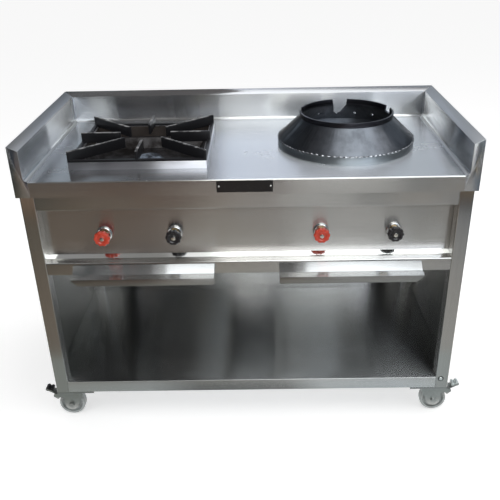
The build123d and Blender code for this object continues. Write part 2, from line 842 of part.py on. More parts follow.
# Valve bodies: neck through the panel with its nut, bored for the stem, spigot into the manifold
with BuildPart() as valve_bodies:
    for valve_x in valve_xs:
        main_valve = valve_x in (main_left_x, main_right_x)
        port_side = 1 if main_valve else -1
        port_radius_here = feed_radius if main_valve else pilot_radius
        with BuildSketch(plane_at_y(valve_back + valve_length)):
            with Locations((valve_x, valve_z)):
                Circle(valve_radius)
        extrude(amount=valve_length)
        with BuildSketch(plane_at_y(valve_back)):
            with Locations((valve_x, valve_z)):
                Circle(valve_neck_radius)
        extrude(amount=sheet + valve_nut_length)
        with BuildSketch(plane_at_y(panel_front)):
            with Locations((valve_x, valve_z)):
                RegularPolygon(valve_nut_radius, 6)
        extrude(amount=valve_nut_length)
        with BuildSketch(plane_at_y(manifold_y)):
            with Locations((valve_x, valve_z)):
                Circle(port_spigot_radius)
        extrude(amount=manifold_y - valve_back - valve_length + sheet)
        with BuildSketch(Plane.XY.offset(valve_z)):
            with Locations((valve_x, feed_y)):
                Circle(port_radius_here + 2 * sheet)
        extrude(amount=port_side * valve_port_reach)
        with BuildSketch(Plane.XY.offset(valve_z + port_side * valve_port_reach)):
            with Locations((valve_x, feed_y)):
                Circle(port_radius_here)
        extrude(amount=-port_side * port_socket_depth, mode=Mode.SUBTRACT)
        with BuildSketch(plane_at_y(panel_front - valve_nut_length)):
            with Locations((valve_x, valve_z)):
                Circle(stem_radius + shaft_fit)
        extrude(amount=-valve_nut_length - stem_engagement - running_gap, mode=Mode.SUBTRACT)
write_piece(valve_bodies.part, "valve_bodies")

# Manifold: pipe behind the valves that turns back to the inlet, with a port for each valve
manifold_points = [(manifold_start_x, manifold_y, valve_z), (manifold_turn_x, manifold_y, valve_z),
                   (manifold_turn_x, manifold_end_y, valve_z)]
with BuildPart() as gas_manifold:
    add(pipe_along(manifold_points, manifold_bend, manifold_radius, manifold_wall))
    with BuildSketch(plane_at_x(manifold_start_x)):
        with Locations((manifold_y, valve_z)):
            Circle(manifold_radius)
    extrude(amount=manifold_wall)
    with BuildSketch(plane_at_y(manifold_y)):
        with Locations(*[(x, valve_z) for x in valve_xs]):
            Circle(port_spigot_radius)
    extrude(amount=2 * manifold_radius, mode=Mode.SUBTRACT)
write_piece(gas_manifold.part, "gas_manifold")

# Manifold clamps on the back of the control panel
with BuildPart() as manifold_clamps:
    for clamp_x in clamp_xs:
        with BuildSketch(plane_at_x(clamp_x - clamp_thickness / 2)):
            clamp_depth = manifold_y + manifold_radius + clamp_lip - valve_back
            with Locations((valve_back, valve_z)):
                Rectangle(clamp_depth, 2 * (manifold_radius + clamp_lip),
                          align=(Align.MIN, Align.CENTER))
            with Locations((manifold_y, valve_z)):
                Circle(manifold_radius, mode=Mode.SUBTRACT)
        extrude(amount=clamp_thickness)
write_piece(manifold_clamps.part, "manifold_clamps")

# Inlet nipple: hexagon on the end of the pipe and a threaded spigot out of the back
inlet_end_y = rear_y + inlet_reach
with BuildPart() as inlet_nipple:
    with BuildSketch(plane_at_y(manifold_end_y + inlet_hex_length)):
        with Locations((manifold_turn_x, valve_z)):
            RegularPolygon(inlet_hex / 2, 6, major_radius=False)
    extrude(amount=inlet_hex_length)
    with BuildSketch(plane_at_y(inlet_end_y)):
        with Locations((manifold_turn_x, valve_z)):
            Circle(inlet_thread_radius)
    extrude(amount=inlet_end_y - manifold_end_y - inlet_hex_length)
    with BuildSketch(plane_at_y(inlet_end_y)):
        with Locations((manifold_turn_x, valve_z)):
            Circle(inlet_bore)
    extrude(amount=inlet_end_y - manifold_end_y, mode=Mode.SUBTRACT)
write_piece(inlet_nipple.part, "inlet_nipple")

# Main feed tubes from the main valves up to the jets
feed_start_z = valve_z + valve_port_reach - port_socket_depth
with BuildPart() as feed_tubes:
    for valve_x, burner_x in ((main_left_x, left_burner_x), (main_right_x, ring_x)):
        feed_points = [(valve_x, feed_y, feed_start_z), (valve_x, feed_y, mixer_z),
                       (burner_x, feed_y, mixer_z), (burner_x, jet_inlet_y, mixer_z)]
        add(pipe_along(feed_points, feed_bend, feed_radius, feed_wall))
write_piece(feed_tubes.part, "feed_tubes")

# Jets on the ends of the feed tubes
jet_tip_y = shutter_y - shutter_thickness - jet_gap
with BuildPart() as burner_jets:
    for burner_x in (left_burner_x, ring_x):
        with BuildSketch(plane_at_y(jet_inlet_y + jet_hex_length)):
            with Locations((burner_x, mixer_z)):
                RegularPolygon(jet_radius, 6)
        extrude(amount=jet_hex_length)
        with BuildSketch(plane_at_y(jet_tip_y)):
            with Locations((burner_x, mixer_z)):
                Circle(jet_nozzle_radius)
        extrude(amount=jet_tip_y - jet_inlet_y - jet_hex_length)
        with BuildSketch(plane_at_y(jet_tip_y)):
            with Locations((burner_x, mixer_z)):
                Circle(jet_bore)
        extrude(amount=jet_tip_y - jet_inlet_y, mode=Mode.SUBTRACT)
write_piece(burner_jets.part, "burner_jets")

# Pilot tubes from the pilot valves up beside the burner caps
pilot_start_z = valve_z - valve_port_reach + port_socket_depth
with BuildPart() as pilot_tubes:
    for valve_x, pilot_x, rim_z in ((pilot_left_x, left_pilot_x, left_bowl_rim_z),
                                    (pilot_right_x, right_pilot_x, wok_bowl_rim_z)):
        pilot_points = [(valve_x, feed_y, pilot_start_z), (valve_x, feed_y, pilot_drop_z),
                        (valve_x, pilot_y, pilot_drop_z), (pilot_x, pilot_y, pilot_drop_z),
                        (pilot_x, pilot_y, rim_z + pilot_tip_rise)]
        add(pipe_along(pilot_points, pilot_bend, pilot_radius, pilot_wall))
write_piece(pilot_tubes.part, "pilot_tubes")

# Bezels round the valve necks, on the face of the control panel
with BuildPart() as knob_bezels:
    with BuildSketch(plane_at_y(panel_front)):
        with Locations(*[(x, valve_z) for x in valve_xs]):
            Circle(bezel_radius)
            Circle(bezel_bore, mode=Mode.SUBTRACT)
    extrude(amount=bezel_depth)
    rim_edges = edges().filter_by(GeomType.CIRCLE).group_by(Axis.Y)[0]
    fillet(rim_edges, bezel_edge_radius)
write_piece(knob_bezels.part, "knob_bezels")

# Valve knobs: fluted handwheels, each with its stem and nut
knob_face_y = front_y + knob_face_inset
knob_names = ("knob_main_left", "knob_pilot_left", "knob_main_right", "knob_pilot_right")
for knob_name, knob_x in zip(knob_names, valve_xs):
    with BuildPart() as knob_wheel:
        with BuildSketch(plane_at_y(knob_face_y + knob_thickness)):
            with Locations((knob_x, valve_z)):
                Circle(knob_radius)
                with PolarLocations(flute_centre_radius, knob_flutes):
                    Circle(flute_radius, mode=Mode.SUBTRACT)
        extrude(amount=knob_thickness)
        with BuildSketch(plane_at_y(knob_face_y + knob_thickness + knob_boss_length)):
            with Locations((knob_x, valve_z)):
                Circle(knob_boss_radius)
        extrude(amount=knob_boss_length)
        with BuildSketch(plane_at_y(knob_face_y)):
            with Locations((knob_x, valve_z)):
                Circle(knob_dish_radius)
        extrude(amount=-knob_dish_depth, mode=Mode.SUBTRACT)
        with BuildSketch(plane_at_y(knob_face_y)):
            with Locations((knob_x, valve_z)):
                Circle(stem_radius)
        extrude(amount=-2 * knob_thickness, mode=Mode.SUBTRACT)
    with BuildPart() as knob_stem:
        stem_back = panel_front + stem_engagement
        stem_front = knob_face_y + knob_dish_depth
        with BuildSketch(plane_at_y(stem_back)):
            with Locations((knob_x, valve_z)):
                Circle(stem_radius)
        extrude(amount=stem_back - stem_front)
        with BuildSketch(plane_at_y(stem_front)):
            with Locations((knob_x, valve_z)):
                RegularPolygon(stem_nut_width / 2, 6, major_radius=False)
        extrude(amount=stem_nut_length)
    write_piece(Compound(children=[knob_wheel.part, knob_stem.part]), knob_name)

# Drip trays: folded pull and riser in front of the lower rail, pan below and behind it
pull_top_z = lower_rail_top - pull_top_drop
pull_front_z = pull_top_z - pull_slope_drop
pull_front_y = front_y - pull_reach
riser_y = frame_front - slip_gap
tray_pan_rear_y = back_panel_y - tray_rear_gap
floor_top = tray_pan_bottom + sheet
for side_name, side, tray_x in (("left", -1, tray_left_x), ("right", 1, tray_right_x)):
    with BuildPart() as drip_tray:
        lip_bottom = pull_front_z - pull_lip
        with BuildSketch(plane_at_x(tray_x - tray_pull_length / 2)):
            with BuildLine():
                Polyline((pull_front_y + pull_return, lip_bottom), (pull_front_y, lip_bottom),
                         (pull_front_y, pull_front_z), (pull_front_y + pull_ledge, pull_front_z),
                         (riser_y, pull_top_z), (riser_y, tray_pan_bottom))
                offset(amount=sheet, side=Side.RIGHT, kind=Kind.INTERSECTION)
            make_face()
        extrude(amount=tray_pull_length)
        with BuildSketch(plane_at_y(pull_front_y + pull_return)):
            with BuildLine():
                outer_x = tray_x + side * tray_pull_length / 2
                Polyline((outer_x, lip_bottom), (outer_x - side * pull_mitre, lip_bottom),
                         (outer_x, lip_bottom + pull_mitre), close=True)
            make_face()
        extrude(amount=2 * pull_return, mode=Mode.SUBTRACT)
        with BuildSketch(Plane.XY.offset(tray_pan_bottom)):
            with Locations((tray_x, riser_y - sheet)):
                Rectangle(tray_pan_length, tray_pan_rear_y - riser_y + sheet,
                          align=(Align.CENTER, Align.MIN))
        extrude(amount=tray_pan_height)
        with BuildSketch(Plane.XY.offset(floor_top)):
            with Locations((tray_x, riser_y)):
                Rectangle(tray_pan_length - 2 * sheet, tray_pan_rear_y - riser_y - sheet,
                          align=(Align.CENTER, Align.MIN))
        extrude(amount=tray_pan_height, mode=Mode.SUBTRACT)
    write_piece(drip_tray.part, f"drip_tray_{side_name}")

# Tray runners: channels under the front rail that reach the back panel
runner_x = tray_pan_length / 2 + runner_side_gap
runner_base = tray_pan_bottom - running_gap - sheet
with BuildPart() as tray_runners:
    for tray_x in (tray_left_x, tray_right_x):
        for side in (-1, 1):
            with BuildSketch(plane_at_y(back_panel_y)):
                with BuildLine():
                    ledge_x = tray_x + side * (runner_x + sheet - runner_ledge)
                    web_x = tray_x + side * (runner_x + sheet)
                    Polyline((ledge_x, runner_base), (web_x, runner_base),
                             (web_x, lower_rail_bottom), (ledge_x, lower_rail_bottom))
                    runner_side = Side.LEFT if side > 0 else Side.RIGHT
                    offset(amount=sheet, side=runner_side, kind=Kind.INTERSECTION)
                make_face()
            extrude(amount=back_panel_y - frame_front - sheet)
write_piece(tray_runners.part, "tray_runners")

# Casters: plates, bolts, forks, wheels and brake pedals
plate_centre_x = side_skin_x - mount_plate_length / 2
plate_front_y = frame_front + mount_plate_depth / 2
plate_rear_y = frame_rear - mount_plate_depth / 2
caster_spots = [("front", "left", -plate_centre_x, plate_front_y, -1),
                ("front", "right", plate_centre_x, plate_front_y, 1),
                ("rear", "left", -plate_centre_x, plate_rear_y, -1),
                ("rear", "right", plate_centre_x, plate_rear_y, 1)]

with BuildPart() as caster_mount_plates:
    with BuildSketch(Plane.XY.offset(mount_plate_z)):
        with Locations(*[(x, y) for _, _, x, y, _ in caster_spots]):
            Rectangle(mount_plate_length, mount_plate_depth)
            with GridLocations(bolt_pitch_x, bolt_pitch_y, 2, 2):
                Circle(bolt_radius, mode=Mode.SUBTRACT)
    extrude(amount=mount_plate_thickness)
write_piece(caster_mount_plates.part, "caster_mount_plates")

with BuildPart() as caster_plates:
    for _, _, spot_x, spot_y, _ in caster_spots:
        with BuildSketch(Plane.XY.offset(caster_plate_z)):
            with Locations((spot_x, spot_y)):
                RectangleRounded(caster_plate_length, caster_plate_depth, bolt_head_radius)
                with GridLocations(bolt_pitch_x, bolt_pitch_y, 2, 2):
                    Circle(bolt_radius, mode=Mode.SUBTRACT)
        extrude(amount=caster_plate_thickness)
        with BuildSketch(upright_plane(spot_x, spot_y)):
            with BuildLine():
                head_top = pin_bottom + kingpin_head_height
                Polyline((0, caster_plate_z), (race_radius, caster_plate_z),
                         (race_radius, race_bottom + race_chamfer_height),
                         (race_radius - race_chamfer_width, race_bottom),
                         (kingpin_radius, race_bottom), (kingpin_radius, head_top),
                         (kingpin_head_radius, head_top), (kingpin_head_radius, pin_bottom),
                         (0, pin_bottom), close=True)
            make_face()
        revolve(axis=Axis((spot_x, spot_y, 0), (0, 0, 1)))
write_piece(caster_plates.part, "caster_plates")

with BuildPart() as caster_bolts:
    bolt_spots = [(x, y) for _, _, x, y, _ in caster_spots]
    with BuildSketch(Plane.XY.offset(caster_plate_z - bolt_head_height)):
        with Locations(*bolt_spots):
            with GridLocations(bolt_pitch_x, bolt_pitch_y, 2, 2):
                RegularPolygon(bolt_head_radius, 6)
    extrude(amount=bolt_head_height)
    with BuildSketch(Plane.XY.offset(caster_plate_z)):
        with Locations(*bolt_spots):
            with GridLocations(bolt_pitch_x, bolt_pitch_y, 2, 2):
                Circle(bolt_radius)
    extrude(amount=caster_plate_thickness + mount_plate_thickness)
write_piece(caster_bolts.part, "caster_bolts")


def cheek_outline(plane, x, out):
    """Caster cheek: two rounded corners under the crown and a round end about the axle."""
    corner_z = crown_z - cheek_corner
    with BuildSketch(plane) as cheek:
        with Locations((x - out * (cheek_back - cheek_corner), corner_z),
                       (x + out * (cheek_front - cheek_corner), corner_z)):
            Circle(cheek_corner)
        with Locations((x + out * wheel_trail, wheel_radius)):
            Circle(axle_boss_radius)
        make_hull()
    return cheek.sketch


def make_fork(name, x, y, out, braked):
    """Caster fork: crown with its kingpin hole, two cheeks and the axle bolt between them."""
    axle_at = (x + out * wheel_trail, wheel_radius)
    corner_at = (x + out * (cheek_front - cheek_corner), crown_z - cheek_corner)
    ear_at = (x + out * pedal_pivot_out, pedal_pivot_z)
    with BuildPart() as fork:
        with BuildSketch(Plane.XY.offset(crown_z)):
            with Locations((x, y)):
                Circle(crown_radius)
            with Locations((x + out * (cheek_front - cheek_back) / 2, y)):
                Rectangle(cheek_front + cheek_back, 2 * cheek_outer)
            with Locations((x, y)):
                Circle(kingpin_radius + shaft_fit, mode=Mode.SUBTRACT)
        extrude(amount=-crown_thickness)
        for cheek_y in (y - cheek_gap / 2, y + cheek_outer):
            plane = plane_at_y(cheek_y)
            extrude(cheek_outline(plane, x, out), amount=cheek_thickness)
            if braked:
                extrude(link_outline(plane, corner_at, cheek_corner, ear_at, pedal_ear_radius),
                        amount=cheek_thickness)
        with BuildSketch(plane_at_y(y + cheek_outer)):
            with Locations(axle_at):
                Circle(axle_radius)
            if braked:
                with Locations(ear_at):
                    Circle(pedal_pivot_radius)
        extrude(amount=2 * cheek_outer, mode=Mode.SUBTRACT)
    with BuildPart() as fork_pins:
        with BuildSketch(plane_at_y(y + cheek_outer)):
            with Locations(axle_at):
                Circle(axle_radius)
            if braked:
                with Locations(ear_at):
                    Circle(pedal_pivot_radius)
        extrude(amount=2 * cheek_outer)
        with BuildSketch(plane_at_y(y + cheek_outer + axle_head_length)):
            with Locations(axle_at):
                RegularPolygon(axle_head_radius, 6)
        extrude(amount=axle_head_length)
        with BuildSketch(plane_at_y(y - cheek_outer)):
            with Locations(axle_at):
                RegularPolygon(axle_head_radius, 6)
        extrude(amount=axle_head_length)
    write_piece(Compound(children=[fork.part, fork_pins.part]), name)


def make_wheel(name, x, y, out):
    """Caster wheel: hub, thin web and a rounded tread."""
    centre_x = x + out * wheel_trail
    half_width = wheel_width / 2
    with BuildPart() as wheel:
        with BuildSketch(Plane(origin=(centre_x, y, wheel_radius), x_dir=(1, 0, 0), z_dir=(0, 0, 1))):
            with BuildLine():
                Polyline((axle_radius + shaft_fit, -wheel_hub_length / 2),
                         (wheel_hub_radius, -wheel_hub_length / 2), (wheel_hub_radius, -wheel_web / 2),
                         (wheel_rim_radius, -wheel_web / 2), (wheel_rim_radius, -half_width),
                         (wheel_radius - tread_round, -half_width))
                ThreePointArc((wheel_radius - tread_round, -half_width),
                              (wheel_radius, 0), (wheel_radius - tread_round, half_width))
                Polyline((wheel_radius - tread_round, half_width), (wheel_rim_radius, half_width),
                         (wheel_rim_radius, wheel_web / 2), (wheel_hub_radius, wheel_web / 2),
                         (wheel_hub_radius, wheel_hub_length / 2),
                         (axle_radius + shaft_fit, wheel_hub_length / 2),
                         (axle_radius + shaft_fit, -wheel_hub_length / 2))
            make_face()
        revolve(axis=Axis((centre_x, y, wheel_radius), (0, 1, 0)))
    write_piece(wheel.part, name)


def make_pedal(name, x, y, out):
    """Brake pedal: rising plate with a tread pad, and a shoe under its pivot."""
    pivot_x = x + out * pedal_pivot_out
    tip_x = x + out * pedal_tip_out
    slope = math.atan2(pedal_tip_z - pedal_pivot_z, pedal_tip_out - pedal_pivot_out)
    pad_run = pedal_pad_length * math.cos(slope)
    pad_rise = pedal_pad_length * math.sin(slope)
    with BuildPart() as pedal:
        with BuildSketch(plane_at_y(y + pedal_width / 2)):
            with Locations((pivot_x, pedal_pivot_z)):
                Circle(pedal_ear_radius)
            with BuildLine():
                plate_side = Side.LEFT if out > 0 else Side.RIGHT
                Line((pivot_x, pedal_pivot_z), (tip_x, pedal_tip_z))
                offset(amount=pedal_thickness, side=plate_side)
            make_face()
            with BuildLine():
                Line((tip_x - out * pad_run, pedal_tip_z - pad_rise), (tip_x, pedal_tip_z))
                offset(amount=pedal_pad_thickness, side=plate_side)
            make_face()
        extrude(amount=pedal_width)
        shoe_at = (pivot_x - out * pedal_shoe_in, pedal_pivot_z - pedal_shoe_drop)
        extrude(link_outline(plane_at_y(y + pedal_width / 2), (pivot_x, pedal_pivot_z),
                             pedal_ear_radius, shoe_at, pedal_shoe_radius), amount=pedal_width)
        with BuildSketch(plane_at_y(y + pedal_width / 2)):
            with Locations((pivot_x, pedal_pivot_z)):
                Circle(pedal_pivot_radius + shaft_fit)
        extrude(amount=pedal_width, mode=Mode.SUBTRACT)
    write_piece(pedal.part, name)


for depth_name, side_name, spot_x, spot_y, out in caster_spots:
    braked = depth_name == "front"
    make_fork(f"caster_fork_{depth_name}_{side_name}", spot_x, spot_y, out, braked)
    make_wheel(f"caster_wheel_{depth_name}_{side_name}", spot_x, spot_y, out)
    if braked:
        make_pedal(f"brake_pedal_{side_name}", spot_x, spot_y, out)
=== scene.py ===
import math

import bmesh
import bpy
from bpy.props import BoolProperty, FloatProperty, FloatVectorProperty, IntProperty, PointerProperty
from bpy.types import Operator, Panel, PropertyGroup
from mathutils import Euler, Matrix, Vector


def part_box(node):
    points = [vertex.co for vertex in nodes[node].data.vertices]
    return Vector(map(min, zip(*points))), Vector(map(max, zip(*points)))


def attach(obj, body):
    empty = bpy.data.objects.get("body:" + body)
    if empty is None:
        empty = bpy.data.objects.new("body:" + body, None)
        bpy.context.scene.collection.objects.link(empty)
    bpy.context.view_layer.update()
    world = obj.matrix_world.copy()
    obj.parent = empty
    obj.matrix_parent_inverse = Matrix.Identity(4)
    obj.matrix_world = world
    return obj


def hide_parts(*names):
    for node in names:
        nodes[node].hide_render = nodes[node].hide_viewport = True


bl_info = {
    "name": "Double Burner Range",
    "version": (1, 0, 0),
    "blender": (4, 5, 0),
    "location": "3D View > Sidebar > Range",
    "description": "Dresses a double burner range in brushed steel, cast iron, enamel and plastic",
    "category": "Object",
}

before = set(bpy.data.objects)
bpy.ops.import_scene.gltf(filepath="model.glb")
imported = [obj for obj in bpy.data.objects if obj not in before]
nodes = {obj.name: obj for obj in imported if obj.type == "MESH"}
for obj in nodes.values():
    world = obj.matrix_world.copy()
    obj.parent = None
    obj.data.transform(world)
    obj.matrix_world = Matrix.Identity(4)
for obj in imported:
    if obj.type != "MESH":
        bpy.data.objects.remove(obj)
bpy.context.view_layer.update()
MM = 0.001
FLAT = math.radians(0.5)
FOLD = math.radians(28)
GUARD_HEIGHT = 82.5 * MM
# How far the ground welds stand off the sheets
SKIN = 0.15 * MM
# Turns what was made standing up so that its top faces the front
FACING = Euler((math.pi / 2, 0, 0))


# Finishes

class Tone:
    """A socket of a finish, so that its maths can be written as plain expressions."""

    def __init__(self, finish, socket):
        self.finish = finish
        self.socket = socket

    def math(self, operation, *values):
        """A Math node."""
        return self.finish.node("ShaderNodeMath", {"operation": operation}, dict(enumerate(values)))

    def __add__(self, other):
        return self.math("ADD", self, other)

    def __sub__(self, other):
        return self.math("SUBTRACT", self, other)

    def __mul__(self, other):
        return self.math("MULTIPLY", self, other)

    def __truediv__(self, other):
        return self.math("DIVIDE", self, other)

    def __pow__(self, other):
        return self.math("POWER", self, other)

    def __rsub__(self, other):
        return self.math("SUBTRACT", other, self)

    def __rtruediv__(self, other):
        return self.math("DIVIDE", other, self)

    __radd__ = __add__
    __rmul__ = __mul__

    def least(self, other):
        """The smaller of two values."""
        return self.math("MINIMUM", self, other)

    def rise(self, low, high):
        """0 below low, 1 above high and smooth between them."""
        settings = {"interpolation_type": "SMOOTHSTEP", "clamp": True}
        return self.finish.node("ShaderNodeMapRange", settings,
                                {"Value": self, "From Min": low, "From Max": high})


class Shading:
    """The nodes of a material or of the world."""

    def __init__(self, tree, output):
        self.tree = tree
        tree.nodes.clear()
        self.surface = tree.nodes.new(output).inputs["Surface"]

    def put(self, socket, value):
        """Give a socket a value or a link."""
        if isinstance(value, Tone):
            self.tree.links.new(value.socket, socket)
        elif hasattr(value, "__len__") and len(value) == 3 and socket.type == "RGBA":
            socket.default_value = (*value, 1.0)
        else:
            socket.default_value = value

    def node(self, kind, settings=None, values=None, out=0):
        """Add a node: its settings come first, then its sockets' values or links."""
        made = self.tree.nodes.new(kind)
        for key, value in (settings or {}).items():
            if key == "stops":
                stops = made.color_ramp.elements
                while len(stops) < len(value):
                    stops.new(1.0)
                for stop, (place, color) in zip(stops, value):
                    stop.position = place
                    stop.color = (*color, 1.0)
            else:
                setattr(made, key, value)
        for key, value in (values or {}).items():
            self.put(made.inputs[key], value)
        return Tone(self, made.outputs[out])

    def show(self, shader):
        """Let the surface show a shader."""
        self.put(self.surface, shader)

    def sight(self):
        """1 for what the camera, mirrors and glass see, 0 for what only lights."""
        camera, mirrors, glass = (self.node("ShaderNodeLightPath", out=f"Is {ray} Ray")
                                  for ray in ("Camera", "Glossy", "Transmission"))
        return (camera + mirrors + glass).least(1.0)


class Finish(Shading):
    """A procedural material for one kind of surface."""

    def __init__(self, name, color, metallic=0.0, roughness=0.5, **fixed):
        self.material = bpy.data.materials.new(name)
        self.material.use_nodes = True
        super().__init__(self.material.node_tree, "ShaderNodeOutputMaterial")
        self.shader = self.tree.nodes.new("ShaderNodeBsdfPrincipled")
        self.show(Tone(self, self.shader.outputs[0]))
        self.set("Base Color", color)
        self.set("Metallic", metallic)
        self.set("Roughness", roughness)
        for socket, value in fixed.items():
            self.set(socket.replace("_", " ").title().replace("Ior", "IOR"), value)

    def set(self, name, value):
        """Give one of the shader's sockets a value or a link."""
        self.put(self.shader.inputs[name], value)

    def point(self, scale=(1, 1, 1), turn=(0, 0, 0), shift=(0, 0, 0)):
        """The object's own coordinates, scaled, turned and shifted."""
        place = self.node("ShaderNodeTexCoord", out="Object")
        return self.node("ShaderNodeMapping", None, {"Vector": place, "Scale": scale,
                                                     "Rotation": turn, "Location": shift})

    def along(self, axis):
        """One of the object's own coordinates, in metres."""
        place = self.node("ShaderNodeTexCoord", out="Object")
        return self.node("ShaderNodeSeparateXYZ", None, {0: place}, out=axis)

    def noise(self, scale, detail=2.0, rough=0.5, stretch=(1, 1, 1), shift=(0, 0, 0)):
        """A Noise texture from 0 to 1."""
        return self.node("ShaderNodeTexNoise", None,
                         {"Vector": self.point(stretch, shift=shift), "Scale": scale,
                          "Detail": detail, "Roughness": rough})

    def mix(self, factor, first, second):
        """Blend two colours."""
        return self.node("ShaderNodeMix", {"data_type": "RGBA"}, {0: factor, 6: first, 7: second}, out=2)

    def bump(self, height, depth, strength=1.0):
        """Raise the surface by a height from 0 to 1, depth metres at most."""
        self.set("Normal", self.node("ShaderNodeBump", None, {"Height": height, "Distance": depth,
                                                              "Strength": strength}))


def mottled(name, color, metallic, roughness, spread, scale, detail=3):
    """A plain finish whose roughness wanders upwards by the spread."""
    finish = Finish(name, color, metallic, roughness)
    finish.set("Roughness", roughness + finish.noise(scale, detail) * spread)
    return finish


def patchy(name, metallic, first, second, roughness, spread, noise, rise=None, **fixed):
    """A finish that wanders between two colours, and gets rougher towards the second."""
    finish = Finish(name, first, metallic, roughness, **fixed)
    patches = finish.noise(*noise)
    finish.set("Base Color", finish.mix(patches.rise(*rise) if rise else patches, first, second))
    finish.set("Roughness", roughness + patches * spread)
    return finish


# Stretch of the brushed lines along each axis
GRAINS = {"X": (1, 60, 60), "Y": (60, 1, 60), "Z": (60, 60, 1)}


def brushed_steel(name, grain, tint, roughness=0.0, stain=0.0, turn=0.25, brushing=1.0, relief=1.0):
    """Brushed stainless sheet with its grain along X, Y or Z."""
    steel = bpy.context.scene.range_steel
    finish = Finish(name, tint, 1.0, steel.roughness, anisotropic=steel.anisotropy * brushing,
                    anisotropic_rotation=turn)
    fine = finish.noise(16, 3, 0.65, GRAINS[grain])
    wide = finish.noise(2.2, 2, 0.5, GRAINS[grain])
    haze = finish.noise(3.1, 3, 0.55)
    smear = finish.noise(9, 4, 0.6, shift=(4, 1, 7)).rise(0.52, 0.78)
    shade = (fine - 0.5) * steel.streaks + (wide - 0.5) * (steel.streaks * 0.6) + (haze - 0.5) * 0.12
    dark = tuple(c * 0.62 for c in tint)
    light = tuple(min(1.0, c * 1.28) for c in tint)
    finish.set("Base Color", finish.mix(shade + 0.5 - smear * (stain * 0.5), dark, light))
    dull = (haze - 0.5) * 0.06 + smear * (0.02 + stain * 0.1)
    finish.set("Roughness", steel.roughness + roughness + dull)
    finish.bump(fine * 0.7 + wide * 0.3, steel.grain_depth * relief)
    return finish


def coat(finish, *names):
    """Give CAD nodes one finish."""
    for name in names:
        nodes[name].data.materials.clear()
        nodes[name].data.materials.append(finish.material)


# Mesh helpers

def copied(node, flat=True):
    """A merged copy of a CAD node's mesh, its flat faces joined."""
    bm = bmesh.new()
    bm.from_mesh(nodes[node].data)
    bmesh.ops.remove_doubles(bm, verts=bm.verts, dist=0.001 * MM)
    if flat:
        bmesh.ops.dissolve_limit(bm, angle_limit=FLAT, verts=bm.verts, edges=bm.edges)
    return bm


def folds(bm, least=FOLD):
    """The edges where the surface turns by more than an angle."""
    return [e for e in bm.edges if len(e.link_faces) == 2 and e.calc_face_angle(0) > least]


def eased(bm, width, steps=2, least=FOLD):
    """Round the sharp edges."""
    bmesh.ops.bevel(bm, geom=folds(bm, least), offset=width, offset_type="OFFSET", segments=steps,
                    profile=0.5, affect="EDGES", material=-1, clamp_overlap=True)
    return bm


def in_mm(section):
    """A section's (radius, height) points, from millimetres to metres."""
    return [(radius * MM, height * MM) for radius, height in section]


def lathe(profile, steps, centre=(0, 0, 0), turn=None, closed=False):
    """Turn a line of (radius, height) points round the Z axis, then stand it in its place."""
    bm = bmesh.new()
    line = [bm.verts.new((radius, 0, height)) for radius, height in profile]
    pairs = list(zip(line, line[1:] + line[:1] if closed else line[1:]))
    edges = [bm.edges.new(pair) for pair in pairs]
    bmesh.ops.spin(bm, geom=line + edges, cent=(0, 0, 0), axis=(0, 0, 1), angle=2 * math.pi,
                   steps=steps, use_merge=True, use_duplicate=False)
    bmesh.ops.remove_doubles(bm, verts=bm.verts, dist=0.01 * MM)
    bmesh.ops.recalc_face_normals(bm, faces=bm.faces)
    stand(bm, centre, turn)
    return bm


def stand(bm, centre=(0, 0, 0), turn=None):
    """Turn a shape and move it to its place."""
    if turn is not None:
        bmesh.ops.transform(bm, matrix=turn.to_matrix().to_4x4(), verts=bm.verts)
    bmesh.ops.translate(bm, vec=Vector(centre), verts=bm.verts)


def joined(*shapes):
    """Put several shapes into one."""
    whole = bmesh.new()
    for shape in shapes:
        part = bpy.data.meshes.new("part")
        shape.to_mesh(part)
        shape.free()
        whole.from_mesh(part)
        bpy.data.meshes.remove(part)
    return whole


def bar(low, high):
    """A block between two corners."""
    bm = bmesh.new()
    bmesh.ops.create_cube(bm, size=1)
    size = Vector(high) - Vector(low)
    bmesh.ops.scale(bm, vec=size, verts=bm.verts)
    bmesh.ops.translate(bm, vec=(Vector(high) + Vector(low)) / 2, verts=bm.verts)
    return bm


def finished(bm, name, finish, body, slot, *stands_for, grain=None, least=FOLD):
    """Make the piece's object, with smooth faces and crisp folds."""
    for face in bm.faces:
        face.smooth = True
    for edge in bm.edges:
        edge.smooth = len(edge.link_faces) == 2 and edge.calc_face_angle(0) < least
    mesh = bpy.data.meshes.new(name)
    bm.to_mesh(mesh)
    bm.free()
    if grain in ("X", "Y"):
        # The brushing runs round the middle of the texture space, and round a far middle it runs straight
        mesh.use_auto_texspace = False
        mesh.texspace_location = (0, 60, 0) if grain == "X" else (60, 0, 0)
        mesh.texspace_size = (1, 1, 1)
    mesh.materials.append(finish.material)
    piece = bpy.data.objects.new(name, mesh)
    bpy.context.scene.collection.objects.link(piece)
    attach(piece, body)
    if stands_for:
        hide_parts(*stands_for)
    return piece


def faces_in(piece, finish, way, part=0.7):
    """Give the faces that look one way a finish of their own."""
    piece.data.materials.append(finish.material)
    for face in piece.data.polygons:
        if face.normal.dot(Vector(way)) > part:
            face.material_index = len(piece.data.materials) - 1


# Sizes and colours

def color(name, description, default):
    return FloatVectorProperty(name=name, description=description, subtype="COLOR", size=3, min=0, max=1,
                               default=default)


def length(name, description, default):
    return FloatProperty(name=name, description=description, unit="LENGTH", min=0, default=default)


def share(name, description, default):
    return FloatProperty(name=name, description=description, min=0, max=1, default=default)


